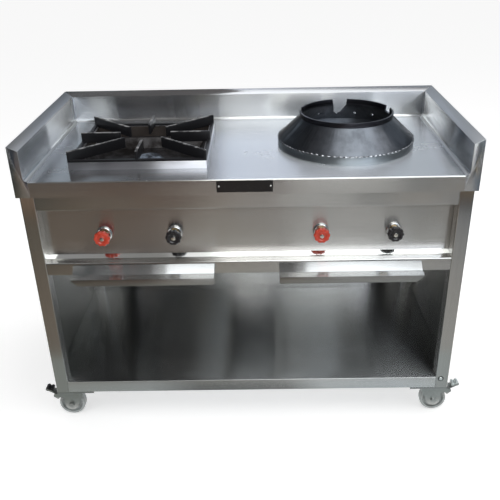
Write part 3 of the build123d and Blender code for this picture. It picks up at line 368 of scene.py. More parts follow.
class RANGE_PG_steel(PropertyGroup):
    """Brushed stainless sheet and tube."""
    tint: color("Steel", "Colour of the brushed sheet", (0.62, 0.63, 0.64))
    deck_tint: color("Deck steel", "Colour of the brushed deck", (0.61, 0.63, 0.66))
    front_tint: color("Front steel", "Colour of the front sheets and tubes", (0.60, 0.59, 0.57))
    # Pale partly as polished weld and partly as a painted highlight line along the coves and corners
    weld_and_highlight_tint: color("Ground welds", "Colour of the ground welds and coves", (0.86, 0.88, 0.92))
    roughness: share("Roughness", "Roughness of the brushed sheet", 0.22)
    anisotropy: share("Brushing", "How far the brushing stretches reflections", 1.0)
    streaks: share("Streaks", "Contrast of the brushed lines", 0.30)
    grain_depth: length("Grain depth", "Depth of the brushed lines", 0.01 * MM)
    fold_radius: length("Fold radius", "Radius of the folds of the sheets", 1.2 * MM)
    guard_width: length("Guard width", "Width of the splash guards' tops", 25 * MM)
    cove_radius: length("Cove radius", "Radius of the coves at the guards' feet", 12 * MM)
    corner_radius: length("Corner radius", "Radius of the ground welds in the corners", 9 * MM)
    strip_rise: length("Strip height", "Height of the strip along the control panel's foot", 9 * MM)


class RANGE_PG_iron(PropertyGroup):
    """Black pieces on top of the range."""
    enamel: color("Enamel", "Colour of the pan support", (0.012, 0.012, 0.014))
    cast: color("Cast iron", "Colour of the wok ring", (0.135, 0.145, 0.165))
    # Collar colour darker than the cone of the same cast metal: painted shade on its upright face
    collar_shade: color("Collar", "Colour of the ring's collar", (0.055, 0.055, 0.065))
    band: color("Band", "Colour of the ring's band", (0.36, 0.39, 0.41))
    rib_edge: length("Rib edge", "Rounding of the ribs", 0.7 * MM)
    band_height: length("Band height", "Height of the band under the cone", 22 * MM)
    collar_height: length("Collar height", "Height of the collar on the cone", 13 * MM)
    bead: length("Weld bead", "Radius of the bead round the ring", 2.6 * MM)
    stitches: IntProperty(name="Stitches", description="Ripples of the weld bead round the ring", min=8,
                          max=200, default=84)


class RANGE_PG_knob(PropertyGroup):
    """Valve knobs."""
    red: color("Burner knobs", "Colour of the main burner knobs", (0.62, 0.055, 0.025))
    black: color("Pilot knobs", "Colour of the pilot knobs", (0.012, 0.011, 0.014))
    lobe_depth: length("Lobe depth", "Depth between two lobes", 2.4 * MM)
    lobes: IntProperty(name="Lobes", description="Lobes round each knob", min=3, max=24, default=10)


class RANGE_PG_caster(PropertyGroup):
    """Casters."""
    tread: color("Wheel", "Colour of the wheels", (0.44, 0.475, 0.47))
    zinc: color("Zinc", "Colour of the plated forks", (0.52, 0.54, 0.53))


class RANGE_PG_stage(PropertyGroup):
    """Floor, lamps and camera."""
    floor: color("Floor", "Colour of the floor", (0.86, 0.86, 0.86))
    lift: FloatProperty(name="Floor white", description="How much whiter the floor shows than it is lit",
                        min=0, default=0.42)
    sky: FloatProperty(name="Sky", description="Strength of the plain light all round", min=0, default=0.6)
    lamp: FloatProperty(name="Lamp", description="Power of the soft lamp overhead", unit="POWER", min=0,
                        default=38)
    fill: FloatProperty(name="Fill", description="Power of the soft lamp at the left", unit="POWER", min=0,
                        default=12)
    cards: BoolProperty(name="Cards", description="Show the grey cards that the steel mirrors",
                        default=True)


# Worktop

class RANGE_OT_worktop(Operator):
    """Deck, splash guards and the ground welds between them"""
    bl_idname = "range.worktop"
    bl_label = "Worktop"

    def execute(self, context):
        steel = context.scene.range_steel
        deck = brushed_steel("deck_steel", "X", steel.deck_tint, 0.04, 0.06)
        rear = brushed_steel("rear_guard_steel", "X", steel.tint, stain=0.06)
        side = brushed_steel("side_guard_steel", "Y", steel.tint, stain=0.08)
        sheet = finished(copied("worktop_deck"), "deck_sheet", deck, "range_frame", "stainless_sheet",
                         "worktop_deck", grain="X")
        faces_in(sheet, brushed_steel("apron_steel", "X", steel.front_tint, stain=0.1), (0, -1, 0))
        top = mottled("guard_top_steel", (0.44, 0.45, 0.46), 1.0, 0.38, 0.1, 30)
        for name, finish, grain in (("left", side, "Y"), ("right", side, "Y"), ("rear", rear, "X")):
            guard = eased(copied(f"splash_guard_{name}"), steel.fold_radius)
            piece = finished(guard, f"guard_sheet_{name}", finish, "range_frame", "stainless_sheet",
                             f"splash_guard_{name}", grain=grain)
            if name != "rear":
                faces_in(piece, top, (0, 0, 1))
        self.ground_welds(steel)
        return {"FINISHED"}

    def ground_welds(self, steel):
        """Polished coves along the guards' feet and rounded welds up their corners, pale partly as ground
        steel and partly as a painted highlight.
        """
        # Pale tint: partly polished weld, partly a painted highlight along the guards' feet and corners
        ground = Finish("ground_weld", steel.weld_and_highlight_tint, 1.0, 0.3)
        rub = ground.noise(70, 3, 0.6)
        ground.set("Roughness", 0.26 + rub * 0.2)
        ground.bump(rub, 0.1 * MM)
        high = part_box("splash_guard_rear")[1]
        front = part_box("splash_guard_left")[0].y
        deck_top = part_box("wok_ring")[0].z
        inner = high.x - steel.guard_width
        back = high.y - steel.guard_width
        cove = steel.cove_radius
        welds = []
        for side in (-1, 1):
            foot = self.quarter(cove - SKIN, (side * (inner - cove), front + 2 * MM, deck_top + cove),
                                (side * (inner - cove), back - cove, deck_top + cove), "Y", side)
            x = side * (inner - steel.corner_radius)
            y = back - steel.corner_radius
            corner = self.quarter(steel.corner_radius - SKIN, (x, y, deck_top + cove * 0.6),
                                  (x, y, deck_top + GUARD_HEIGHT), "Z", side)
            welds += [foot, corner]
        welds.append(self.quarter(cove - SKIN, (cove - inner, back - cove, deck_top + cove),
                                  (inner - cove, back - cove, deck_top + cove), "X", 1))
        finished(joined(*welds), "ground_welds", ground, "range_frame", "stainless_sheet",
                 least=math.radians(50))

    def quarter(self, radius, start, end, axis, side):
        """A thin quarter-round strip from start to end, hollow towards the middle of the deck."""
        bm = bmesh.new()
        reach = Vector((0, radius, 0) if axis == "X" else (side * radius, 0, 0))
        line = [bm.verts.new(Vector(place) + reach) for place in (start, end)]
        edge = bm.edges.new(line)
        turn = (-1 if axis == "X" else side) * math.pi / 2
        way = [float(axis == name) for name in "XYZ"]
        bmesh.ops.spin(bm, geom=line + [edge], cent=start, axis=way, angle=turn, steps=8)
        bmesh.ops.recalc_face_normals(bm, faces=bm.faces)
        bmesh.ops.solidify(bm, geom=bm.faces[:], thickness=0.1 * MM)
        return bm


class RANGE_OT_frame(Operator):
    """Legs, rails, panels and the bottom shelf"""
    bl_idname = "range.frame"
    bl_label = "Frame and panels"

    def execute(self, context):
        steel = context.scene.range_steel
        tint = steel.front_tint
        front = brushed_steel("front_steel", "X", tint, stain=0.10)
        leg = brushed_steel("leg_steel", "Z", tint, stain=0.10, turn=0.0)
        # Darker tint on the back panel, inner rails and plates than on the outer steel: painted shade
        # inside the bay
        inner = brushed_steel("inner_steel_painted_shade", "X", (0.46, 0.46, 0.45), -0.04, 0.12, brushing=0.9, relief=0.2)
        # Much darker tint on the side panels than on the other steel: painted shade of the bay's inner
        # sides
        side = brushed_steel("side_steel_painted_shade", "Y", (0.30, 0.30, 0.28), stain=0.10, relief=0.2)
        # Near-white tint on the lower rail's top and the foot strip, lighter than the rail's front in the
        # same steel: painted light
        bright = brushed_steel("rail_top_steel_painted_light", "X", (0.94, 0.94, 0.92), -0.12, 0.02, brushing=0.3)
        # Brighter, bluer tint on the bottom shelf than on the other stainless: painted light that the shelf
        # reflects
        shelf = brushed_steel("shelf_steel_painted_light", "X", (0.90, 0.95, 0.99), 0.0, 0.10)
        # Near-white tints on the shelf's front lip and its sloped front edge: painted highlight
        lip = brushed_steel("lip_steel_painted_highlight", "X", (0.88, 0.87, 0.85), stain=0.10)
        edge = mottled("edge_steel_painted_highlight", (0.95, 0.95, 0.95), 1.0, 0.36, 0.1, 60)
        for name, fold, finish, slot in (("front_top_rail", 1.2, front, "stainless_tube"),
                                         ("front_lower_rail", 2.5, front, "stainless_tube"),
                                         ("control_panel", 0.0, front, "stainless_sheet"),
                                         ("bottom_shelf", 2.0, shelf, "stainless_sheet")):
            sheet = eased(copied(name), fold * MM, 4) if fold else copied(name)
            piece = finished(sheet, f"{name}_sheet", finish, "range_frame", slot, name, grain="X")
            # The lower rail's up-facing faces get the near-white finish as painted light
            if name == "front_lower_rail":
                faces_in(piece, bright, (0, 0, 1))
            elif name == "bottom_shelf":
                # The shelf's sloped edge and front lip get near-white finishes as painted highlight
                faces_in(piece, edge, (0, -0.71, 0.71), 0.9)
                faces_in(piece, lip, (0, -1, 0), 0.95)
        self.foot_strip(bright, steel.strip_rise)
        coat(leg, "leg_front_left", "leg_front_right", "leg_rear_left", "leg_rear_right")
        coat(inner, "top_frame_rails", "rear_mid_rail", "base_rails", "back_panel", "caster_mount_plates",
             "tray_runners", "burner_bearers")
        coat(side, "side_panel_left", "side_panel_right")
        return {"FINISHED"}

    def foot_strip(self, finish, rise):
        """Sloping strip along the control panel's foot, down to the rail under it, in the rail top's
        near-white finish as painted light.
        """
        rail_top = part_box("front_lower_rail")[1].z
        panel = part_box("control_panel")[0].y
        left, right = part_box("leg_front_left")[1].x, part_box("leg_front_right")[0].x
        strip = bar((left, panel - rise, rail_top), (right, panel, rail_top + rise))
        for x in (left, right):
            upper = [v for v in strip.verts if abs(v.co.x - x) < MM and v.co.z > rail_top + rise / 2]
            bmesh.ops.pointmerge(strip, verts=upper, merge_co=(x, panel, rail_top + rise))
        bmesh.ops.recalc_face_normals(strip, faces=strip.faces)
        finished(strip, "panel_foot_strip", finish, "range_frame", "stainless_sheet", grain="X")


class RANGE_OT_nameplate(Operator):
    """Bare black nameplate with its rivets"""
    bl_idname = "range.nameplate"
    bl_label = "Nameplate"

    def execute(self, context):
        plate = patchy("plate_black", 0.3, (0.010, 0.010, 0.011), (0.045, 0.045, 0.045), 0.28, 0.25,
                       (60, 4, 0.6), (0.55, 0.75), coat_weight=0.4)
        plate.bump(plate.noise(260, 3), 0.05 * MM)
        finished(eased(copied("nameplate"), 0.3 * MM, 1), "bare_plate", plate, "range_frame",
                 "plate_black", "nameplate")
        heads = []
        low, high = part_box("nameplate_rivets")
        middle = (low + high) / 2
        radius = (high.z - low.z) / 2
        rise = high.y - low.y
        for x in (low.x + radius, high.x - radius):
            profile = [(0, rise), (radius * 0.5, rise * 0.93), (radius * 0.82, rise * 0.65),
                       (radius, rise * 0.2), (radius, 0)]
            heads.append(lathe(profile, 20, (x, high.y, middle.z), FACING))
        bright = mottled("rivet_bright", (0.80, 0.80, 0.78), 1.0, 0.16, 0.2, 900, 2)
        finished(joined(*heads), "plate_rivet_heads", bright, "range_frame", "bezel_chrome",
                 "nameplate_rivets")
        return {"FINISHED"}


# Burners and their pans

class RANGE_OT_pan_support(Operator):
    """Enamelled pan support with its ribs, on the folded surround"""
    bl_idname = "range.pan_support"
    bl_label = "Pan support"

    def execute(self, context):
        iron = context.scene.range_iron
        enamel = Finish("black_enamel", iron.enamel, 0.0, 0.32, specular_ior_level=0.22,
                        coat_weight=0.06, coat_roughness=0.2)
        worn = enamel.noise(38, 5, 0.62)
        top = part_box("pan_support")[1].z
        near_top = enamel.along("Z").rise(top - 2.5 * MM, top - 0.2 * MM)
        scuff = (worn.rise(0.40, 0.60) * near_top).least(1.0)
        enamel.set("Base Color", enamel.mix(scuff, iron.enamel, (0.26, 0.26, 0.265)))
        enamel.set("Roughness", 0.24 + worn * 0.22 + scuff * 0.1)
        enamel.bump(enamel.noise(220, 3, 0.6), 0.12 * MM)
        ribs = eased(copied("pan_support"), iron.rib_edge)
        finished(ribs, "enamel_ribs", enamel, "pan_support", "black_enamel", "pan_support")
        rim = brushed_steel("surround_steel", "X", (0.74, 0.74, 0.78), 0.06, 0.20)
        finished(eased(copied("burner_surround"), 0.6 * MM), "surround_sheet", rim, "range_frame",
                 "stainless_sheet", "burner_surround", grain="X")
        self.burn_inside(bpy.data.objects["surround_sheet"])
        return {"FINISHED"}

    def burn_inside(self, sheet):
        """Give the surround's inner faces a burnt finish."""
        burnt = Finish("burnt_steel", (0.045, 0.036, 0.033), 0.6, 0.55)
        soot = burnt.noise(20, 4, 0.6)
        burnt.set("Base Color", burnt.mix(soot, (0.020, 0.016, 0.015), (0.075, 0.060, 0.052)))
        sheet.data.materials.append(burnt.material)
        low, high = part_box("burner_surround")
        middle = (low + high) / 2
        for face in sheet.data.polygons:
            inwards = Vector((middle.x, middle.y, face.center.z)) - face.center
            if face.normal.dot(inwards.normalized()) > 0.5:
                face.material_index = 1


class RANGE_OT_pans(Operator):
    """Drip pan and spill bowl with their baked-on stains"""
    bl_idname = "range.pans"
    bl_label = "Drip pan and bowl"

    def execute(self, context):
        pan = Finish("stained_pan", (0.08, 0.075, 0.07), 0.9, 0.4)
        burnt = pan.noise(14, 5, 0.62)
        spots = pan.noise(55, 4, 0.6, shift=(3, 1, 2))
        pan.set("Base Color", pan.mix(burnt.rise(0.30, 0.62), (0.13, 0.125, 0.13), (0.020, 0.017, 0.016)))
        pan.set("Roughness", 0.28 + burnt * 0.3 + spots * 0.12)
        pan.bump(spots, 0.2 * MM)
        finished(eased(copied("drip_pan"), 0.8 * MM, 1), "pan_sheet", pan, "range_frame",
                 "stainless_dark", "drip_pan")
        finished(copied("spill_bowl", flat=False), "bowl_sheet", pan, "range_frame",
                 "stainless_dark", "spill_bowl")
        return {"FINISHED"}


class RANGE_OT_burners(Operator):
    """Cast burners, their caps, jets and air shutters"""
    bl_idname = "range.burners"
    bl_label = "Burners"

    def execute(self, context):
        cast = Finish("burner_cast", (0.045, 0.043, 0.042), 0.35, 0.62)
        grit = cast.noise(190, 5, 0.65)
        rust = cast.noise(17, 4, 0.6)
        cast.set("Base Color", cast.mix(rust.rise(0.5, 0.72), (0.045, 0.043, 0.042), (0.085, 0.050, 0.032)))
        cast.bump(grit, 0.5 * MM)
        cap = patchy("cap_metal", 0.8, (0.34, 0.39, 0.46), (0.035, 0.037, 0.045), 0.32, 0.3,
                     (36, 5, 0.62), (0.40, 0.58))
        cap.bump(cap.noise(260, 3), 0.12 * MM)
        brass = patchy("valve_brass", 1.0, (0.74, 0.56, 0.28), (0.48, 0.33, 0.15), 0.22, 0.28, (80, 4))
        zinc = mottled("shutter_zinc", context.scene.range_caster.zinc, 1.0, 0.28, 0.22, 120)
        coat(cast, "burner_body_left", "burner_body_right")
        coat(cap, "burner_cap_left", "burner_cap_right")
        coat(zinc, "air_shutter_left", "air_shutter_right")
        coat(brass, "burner_jets", "valve_bodies")
        return {"FINISHED"}


class RANGE_OT_wok_ring(Operator):
    """Wok ring: black cone and collar, with a weld bead on its band"""
    bl_idname = "range.wok_ring"
    bl_label = "Wok ring"

    def execute(self, context):
        iron = context.scene.range_iron
        low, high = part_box("wok_ring")
        black = Finish("ring_black", iron.cast, 1.0, 0.34, anisotropic=0.45, anisotropic_rotation=0.25)
        grit = black.noise(150, 5, 0.62)
        wear = black.noise(22, 4, 0.6)
        height = black.along("Z")
        blend = 1 * MM
        collar_foot = high.z - iron.collar_height
        # Mask for the collar, which is painted darker than the cone as painted shade
        collar_shade = height.rise(collar_foot - blend, collar_foot + blend)
        centre = (low + high) / 2
        east = black.along("X") - centre.x
        north = black.along("Y") - centre.y
        out = (east * east + north * north) ** 0.5
        radius = (high.x - low.x) / 2
        band_top = low.z + iron.band_height
        band = 1 - height.rise(band_top - blend, band_top + blend / 2)
        band = band * out.rise(radius - 2 * blend, radius - blend)
        cone = black.mix(wear.rise(0.35, 0.7), iron.cast, tuple(c * 0.7 for c in iron.cast))
        upper = black.mix(collar_shade, cone, iron.collar_shade)
        black.set("Base Color", black.mix(band, upper, iron.band))
        black.set("Roughness", 0.24 + wear * 0.12 + grit * 0.05)
        black.bump(grit, 0.10 * MM)
        finished(eased(copied("wok_ring"), 0.8 * MM), "ring_cone", black, "wok_ring", "black_cast",
                 "wok_ring")
        weld = patchy("bead_steel", 1.0, (0.62, 0.64, 0.66), (0.06, 0.06, 0.07), 0.20, 0.3,
                      (160, 3, 0.6), (0.4, 0.62))
        finished(self.bead(iron, low, high), "ring_bead", weld, "wok_ring", "black_cast")
        return {"FINISHED"}

    def bead(self, iron, low, high):
        """Rippled weld bead where the cone meets its band."""
        sunk = 0.6 * MM
        radius = (high.x - low.x) / 2 - sunk
        bead = bmesh.new()
        bmesh.ops.create_circle(bead, segments=8, radius=iron.bead)
        stand(bead, (radius, 0, 0), FACING)
        bmesh.ops.spin(bead, geom=bead.verts[:] + bead.edges[:], cent=(0, 0, 0), axis=(0, 0, 1),
                       angle=2 * math.pi, steps=8 * iron.stitches, use_merge=True)
        bmesh.ops.remove_doubles(bead, verts=bead.verts, dist=0.01 * MM)
        bmesh.ops.recalc_face_normals(bead, faces=bead.faces)
        for vert in bead.verts:
            around = math.atan2(vert.co.y, vert.co.x)
            swell = 0.62 + 0.38 * math.sin(around * iron.stitches + 2 * math.sin(around * 5))
            out = Vector((vert.co.x, vert.co.y, 0)).normalized() * radius
            vert.co = out + (vert.co - out) * swell
        stand(bead, ((low.x + high.x) / 2, (low.y + high.y) / 2, low.z + iron.band_height))
        return bead


# Gas train and knobs

# Half sections as (radius, height) in millimetres, the height 0 at a knob's face or a bezel's back
KNOB_RADIUS, LOBE_FOOT = 22, 13.6
KNOB_SECTION = [(4, -3), (9.5, -3), (11.2, -2.6), (12.4, -1.4), (LOBE_FOOT, -0.3), (15, 0), (18.6, 0),
                (20.2, -0.4), (21.4, -1.5), (KNOB_RADIUS, -3.2), (KNOB_RADIUS, -10.6), (21.5, -12.4),
                (20.3, -13.6), (18.5, -14), (10, -14), (10, -20), (4, -20)]
STEM_SECTION = [(0, -2), (4, -2), (4, -55.5), (0, -55.5)]
BEZEL_SECTION = [(16.5, 0), (16.5, 4.4), (17.0, 5.4), (18.0, 6.0), (19.4, 5.9), (20.6, 5.2),
                 (21.5, 3.9), (22, 2.2), (22, 0)]
NUT_RADIUS, NUT_HEIGHT = 6.35 * MM, 4 * MM


class RANGE_OT_gas_train(Operator):
    """Pipes, tubes and clamps behind the control panel"""
    bl_idname = "range.gas_train"
    bl_label = "Gas train"

    def execute(self, context):
        pipe = patchy("pipe_steel", 0.9, (0.36, 0.35, 0.34), (0.17, 0.15, 0.14), 0.36, 0.25,
                      (48, 4, 0.6), (0.4, 0.7))
        copper = patchy("tube_copper", 1.0, (0.80, 0.44, 0.30), (0.42, 0.20, 0.12), 0.20, 0.3,
                        (34, 4, 0.6))
        coat(pipe, "gas_manifold", "inlet_nipple", "manifold_clamps")
        coat(copper, "feed_tubes", "pilot_tubes")
        return {"FINISHED"}


class RANGE_OT_knobs(Operator):
    """Lobed valve knobs, their stems and nuts, and the chromed bezels behind them"""
    bl_idname = "range.knobs"
    bl_label = "Knobs"

    def plastic(self, name, color):
        """Glossy moulded plastic."""
        deep = tuple(c * 0.62 for c in color)
        light = tuple(min(1.0, c * 1.25) for c in color)
        finish = patchy(name, 0.0, deep, light, 0.16, 0.18, (90, 3), coat_weight=0.6, coat_roughness=0.08)
        finish.bump(finish.noise(420, 2), 0.04 * MM)
        return finish

    def wheel(self, knob, place):
        """Turned knob, with hollows pressed in between its lobes."""
        wheel = lathe(in_mm(KNOB_SECTION), 160)
        for vert in wheel.verts:
            reach = Vector((vert.co.x, vert.co.y, 0))
            weight = (reach.length - LOBE_FOOT * MM) / (KNOB_RADIUS * MM - LOBE_FOOT * MM)
            if weight > 0:
                around = math.atan2(reach.y, reach.x)
                dip = (0.5 - 0.5 * math.cos(around * knob.lobes)) ** 1.6
                vert.co -= reach.normalized() * knob.lobe_depth * dip * weight
        stand(wheel, place, FACING)
        return wheel

    def nut(self, place):
        """Hexagon nut on its stem, just proud of the knob's face."""
        hexagon = bmesh.new()
        bmesh.ops.create_cone(hexagon, cap_ends=True, segments=6, radius1=NUT_RADIUS, radius2=NUT_RADIUS,
                              depth=NUT_HEIGHT)
        eased(hexagon, 0.5 * MM, 2)
        stand(hexagon, place + Vector((0, NUT_HEIGHT / 4, 0)), FACING)
        return joined(hexagon, lathe(in_mm(STEM_SECTION), 32, place, FACING))

    def execute(self, context):
        knob = context.scene.range_knob
        kinds = {"main": "knob_red", "pilot": "knob_black"}
        plastics = {"knob_red": self.plastic("knob_red", knob.red),
                    "knob_black": self.plastic("knob_black", knob.black)}
        bright = mottled("nut_bright", (0.86, 0.84, 0.78), 1.0, 0.12, 0.16, 600, 2)
        chrome = mottled("bezel_chrome", (0.82, 0.82, 0.82), 1.0, 0.07, 0.14, 300)
        bezel_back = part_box("knob_bezels")[1].y
        rings = []
        for name in ("knob_main_left", "knob_pilot_left", "knob_main_right", "knob_pilot_right"):
            low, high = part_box(name)
            place = Vector(((low.x + high.x) / 2, low.y + 1 * MM, (low.z + high.z) / 2))
            slot = kinds[name.split("_")[1]]
            finished(self.wheel(knob, place), f"{name}_wheel", plastics[slot], name, slot, name)
            finished(self.nut(place), f"{name}_nut", bright, name, "bezel_chrome")
            rings.append(lathe(in_mm(BEZEL_SECTION), 72, (place.x, bezel_back, place.z), FACING,
                               closed=True))
        finished(joined(*rings), "bezel_rings", chrome, "range_frame", "bezel_chrome", "knob_bezels")
        return {"FINISHED"}


# Drip trays

class RANGE_OT_trays(Operator):
    """Drip trays with their folded pulls"""
    bl_idname = "range.trays"
    bl_label = "Drip trays"

    def execute(self, context):
        steel = context.scene.range_steel
        sheet = brushed_steel("tray_steel", "X", steel.tint, stain=0.10)
        # Darker tint on the trays' fronts than on their tops in the same steel: painted shade
        face = brushed_steel("tray_face_steel_painted_shade", "X", (0.42, 0.42, 0.41), stain=0.06)
        for side in ("left", "right"):
            piece = finished(eased(copied(f"drip_tray_{side}"), 0.5 * MM), f"tray_sheet_{side}", sheet,
                             f"drip_tray_{side}", "stainless_sheet", f"drip_tray_{side}", grain="X")
            faces_in(piece, face, (0, -1, 0), 0.95)
        return {"FINISHED"}


# Casters

# Half sections as (radius, height) in millimetres: of a wheel from its middle, of the screw from the leg
WHEEL_SECTION = [(5, 16), (12.6, 16), (14, 14.8), (14.6, 9), (16, 7.6), (28.4, 7), (30.2, 8.2),
                 (31, 10.5), (31, 13.6), (31.8, 14.7), (33, 15), (34.8, 15), (37.4, 14.2), (39, 12.4),
                 (39.8, 9.6), (40, 6), (40, 0)]
WASHER_SECTION = [(0, 0.6), (7.5, 0.6), (8.5, 0.4), (8.5, 0)]
SCREW_SECTION = [(0, 3.6), (2.4, 3.4), (4.6, 2.5), (5.6, 1.2), (5.6, 0.3)]
# Lobes of a pedal's pad: from the tip inwards, below the top, and radius, in millimetres
PAD_LOBES = ((7.0, 4.5, 6.5), (19.0, 6.5, 5.5))


class RANGE_OT_casters(Operator):
    """Casters: plated forks, grey wheels and brake pedals"""
    bl_idname = "range.casters"
    bl_label = "Casters"

    def execute(self, context):
        caster = context.scene.range_caster
        zinc = patchy("zinc_plate", 1.0, caster.zinc, (0.36, 0.36, 0.34), 0.24, 0.26, (85, 4, 0.6))
        rubber = patchy("wheel_grey", 0.0, caster.tread, (0.28, 0.29, 0.28), 0.28, 0.26,
                        (44, 5, 0.62), (0.42, 0.72), coat_weight=0.2)
        pad = mottled("pedal_black", (0.014, 0.014, 0.015), 0.0, 0.32, 0.2, 180)
        pad.bump(pad.noise(300, 2), 0.08 * MM)
        coat(zinc, "caster_plates", "caster_bolts")
        for end in ("front", "rear"):
            for side in ("left", "right"):
                coat(zinc, f"caster_fork_{end}_{side}")
                self.wheel(f"caster_wheel_{end}_{side}", rubber)
        shiny = mottled("pedal_zinc", (0.86, 0.90, 0.88), 1.0, 0.34, 0.16, 90)
        self.pedal("brake_pedal_left", -1, zinc, pad, "pedal_black")
        self.pedal("brake_pedal_right", 1, zinc, shiny, "pedal_zinc")
        self.leg_screw(shiny, pad)
        return {"FINISHED"}

    def leg_screw(self, zinc, dark):
        """Pan-head screw with its dark washer, low on the right front leg."""
        inset, rise = 23 * MM, 33 * MM
        low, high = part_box("leg_front_right")
        place = (high.x - inset, low.y, low.z + rise)
        finished(lathe(in_mm(WASHER_SECTION), 28, place, FACING), "leg_washer", dark, "range_frame",
                 "pedal_black")
        finished(lathe(in_mm(SCREW_SECTION), 24, place, FACING), "leg_screw_head", zinc, "range_frame",
                 "pedal_zinc")

    def pedal(self, name, out, zinc, grip, slot):
        """Brake pedal: plated plate, and a rocker pad with two rounded lobes."""
        low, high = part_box(name)
        tip = high.x if out > 0 else low.x
        finished(eased(copied(name), 0.8 * MM, 2), f"{name}_plate", zinc, name, "zinc_steel", name)
        lobes = []
        for inwards, drop, radius in PAD_LOBES:
            lobe = bmesh.new()
            bmesh.ops.create_cone(lobe, cap_ends=True, segments=28, radius1=radius * MM,
                                  radius2=radius * MM, depth=high.y - low.y - 1 * MM)
            eased(lobe, 1.6 * MM, 3)
            stand(lobe, (tip - out * inwards * MM, (low.y + high.y) / 2, high.z - drop * MM), FACING)
            lobes.append(lobe)
        finished(joined(*lobes), f"{name}_pad", grip, name, slot)

    def wheel(self, name, finish):
        """Wheel with its hub, web, rim and rounded tread."""
        low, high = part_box(name)
        section = WHEEL_SECTION + [(radius, -height) for radius, height in reversed(WHEEL_SECTION[:-1])]
        wheel = lathe(in_mm(section), 96, (low + high) / 2, FACING, closed=True)
        finished(wheel, f"{name}_tread", finish, name, "wheel_grey", name)


# Floor, lamps and camera

# Grey cards that only the steel mirrors, in metres. They stand round the range as a room would.
SIDE, LEFT, RIGHT = 3, -1.75, 2.9
FRONT, FRONT_WALL, REAR = -3.2, -3.25, 2.6
SEAM_X, SEAM_Y = -0.25, -0.6
CEILING, REAR_TOP, LIFT = 2.7, 3.0, 0.004
FAR_FLOOR, MID_FLOOR, NEAR_FLOOR = -1.9, -0.62, -0.30
LOW_WALL, MID_WALL, WINDOW_TOP = 0.9, 1.82, 2.2
REAR_FOOT, REAR_MIDDLE = 0.6, 1.6
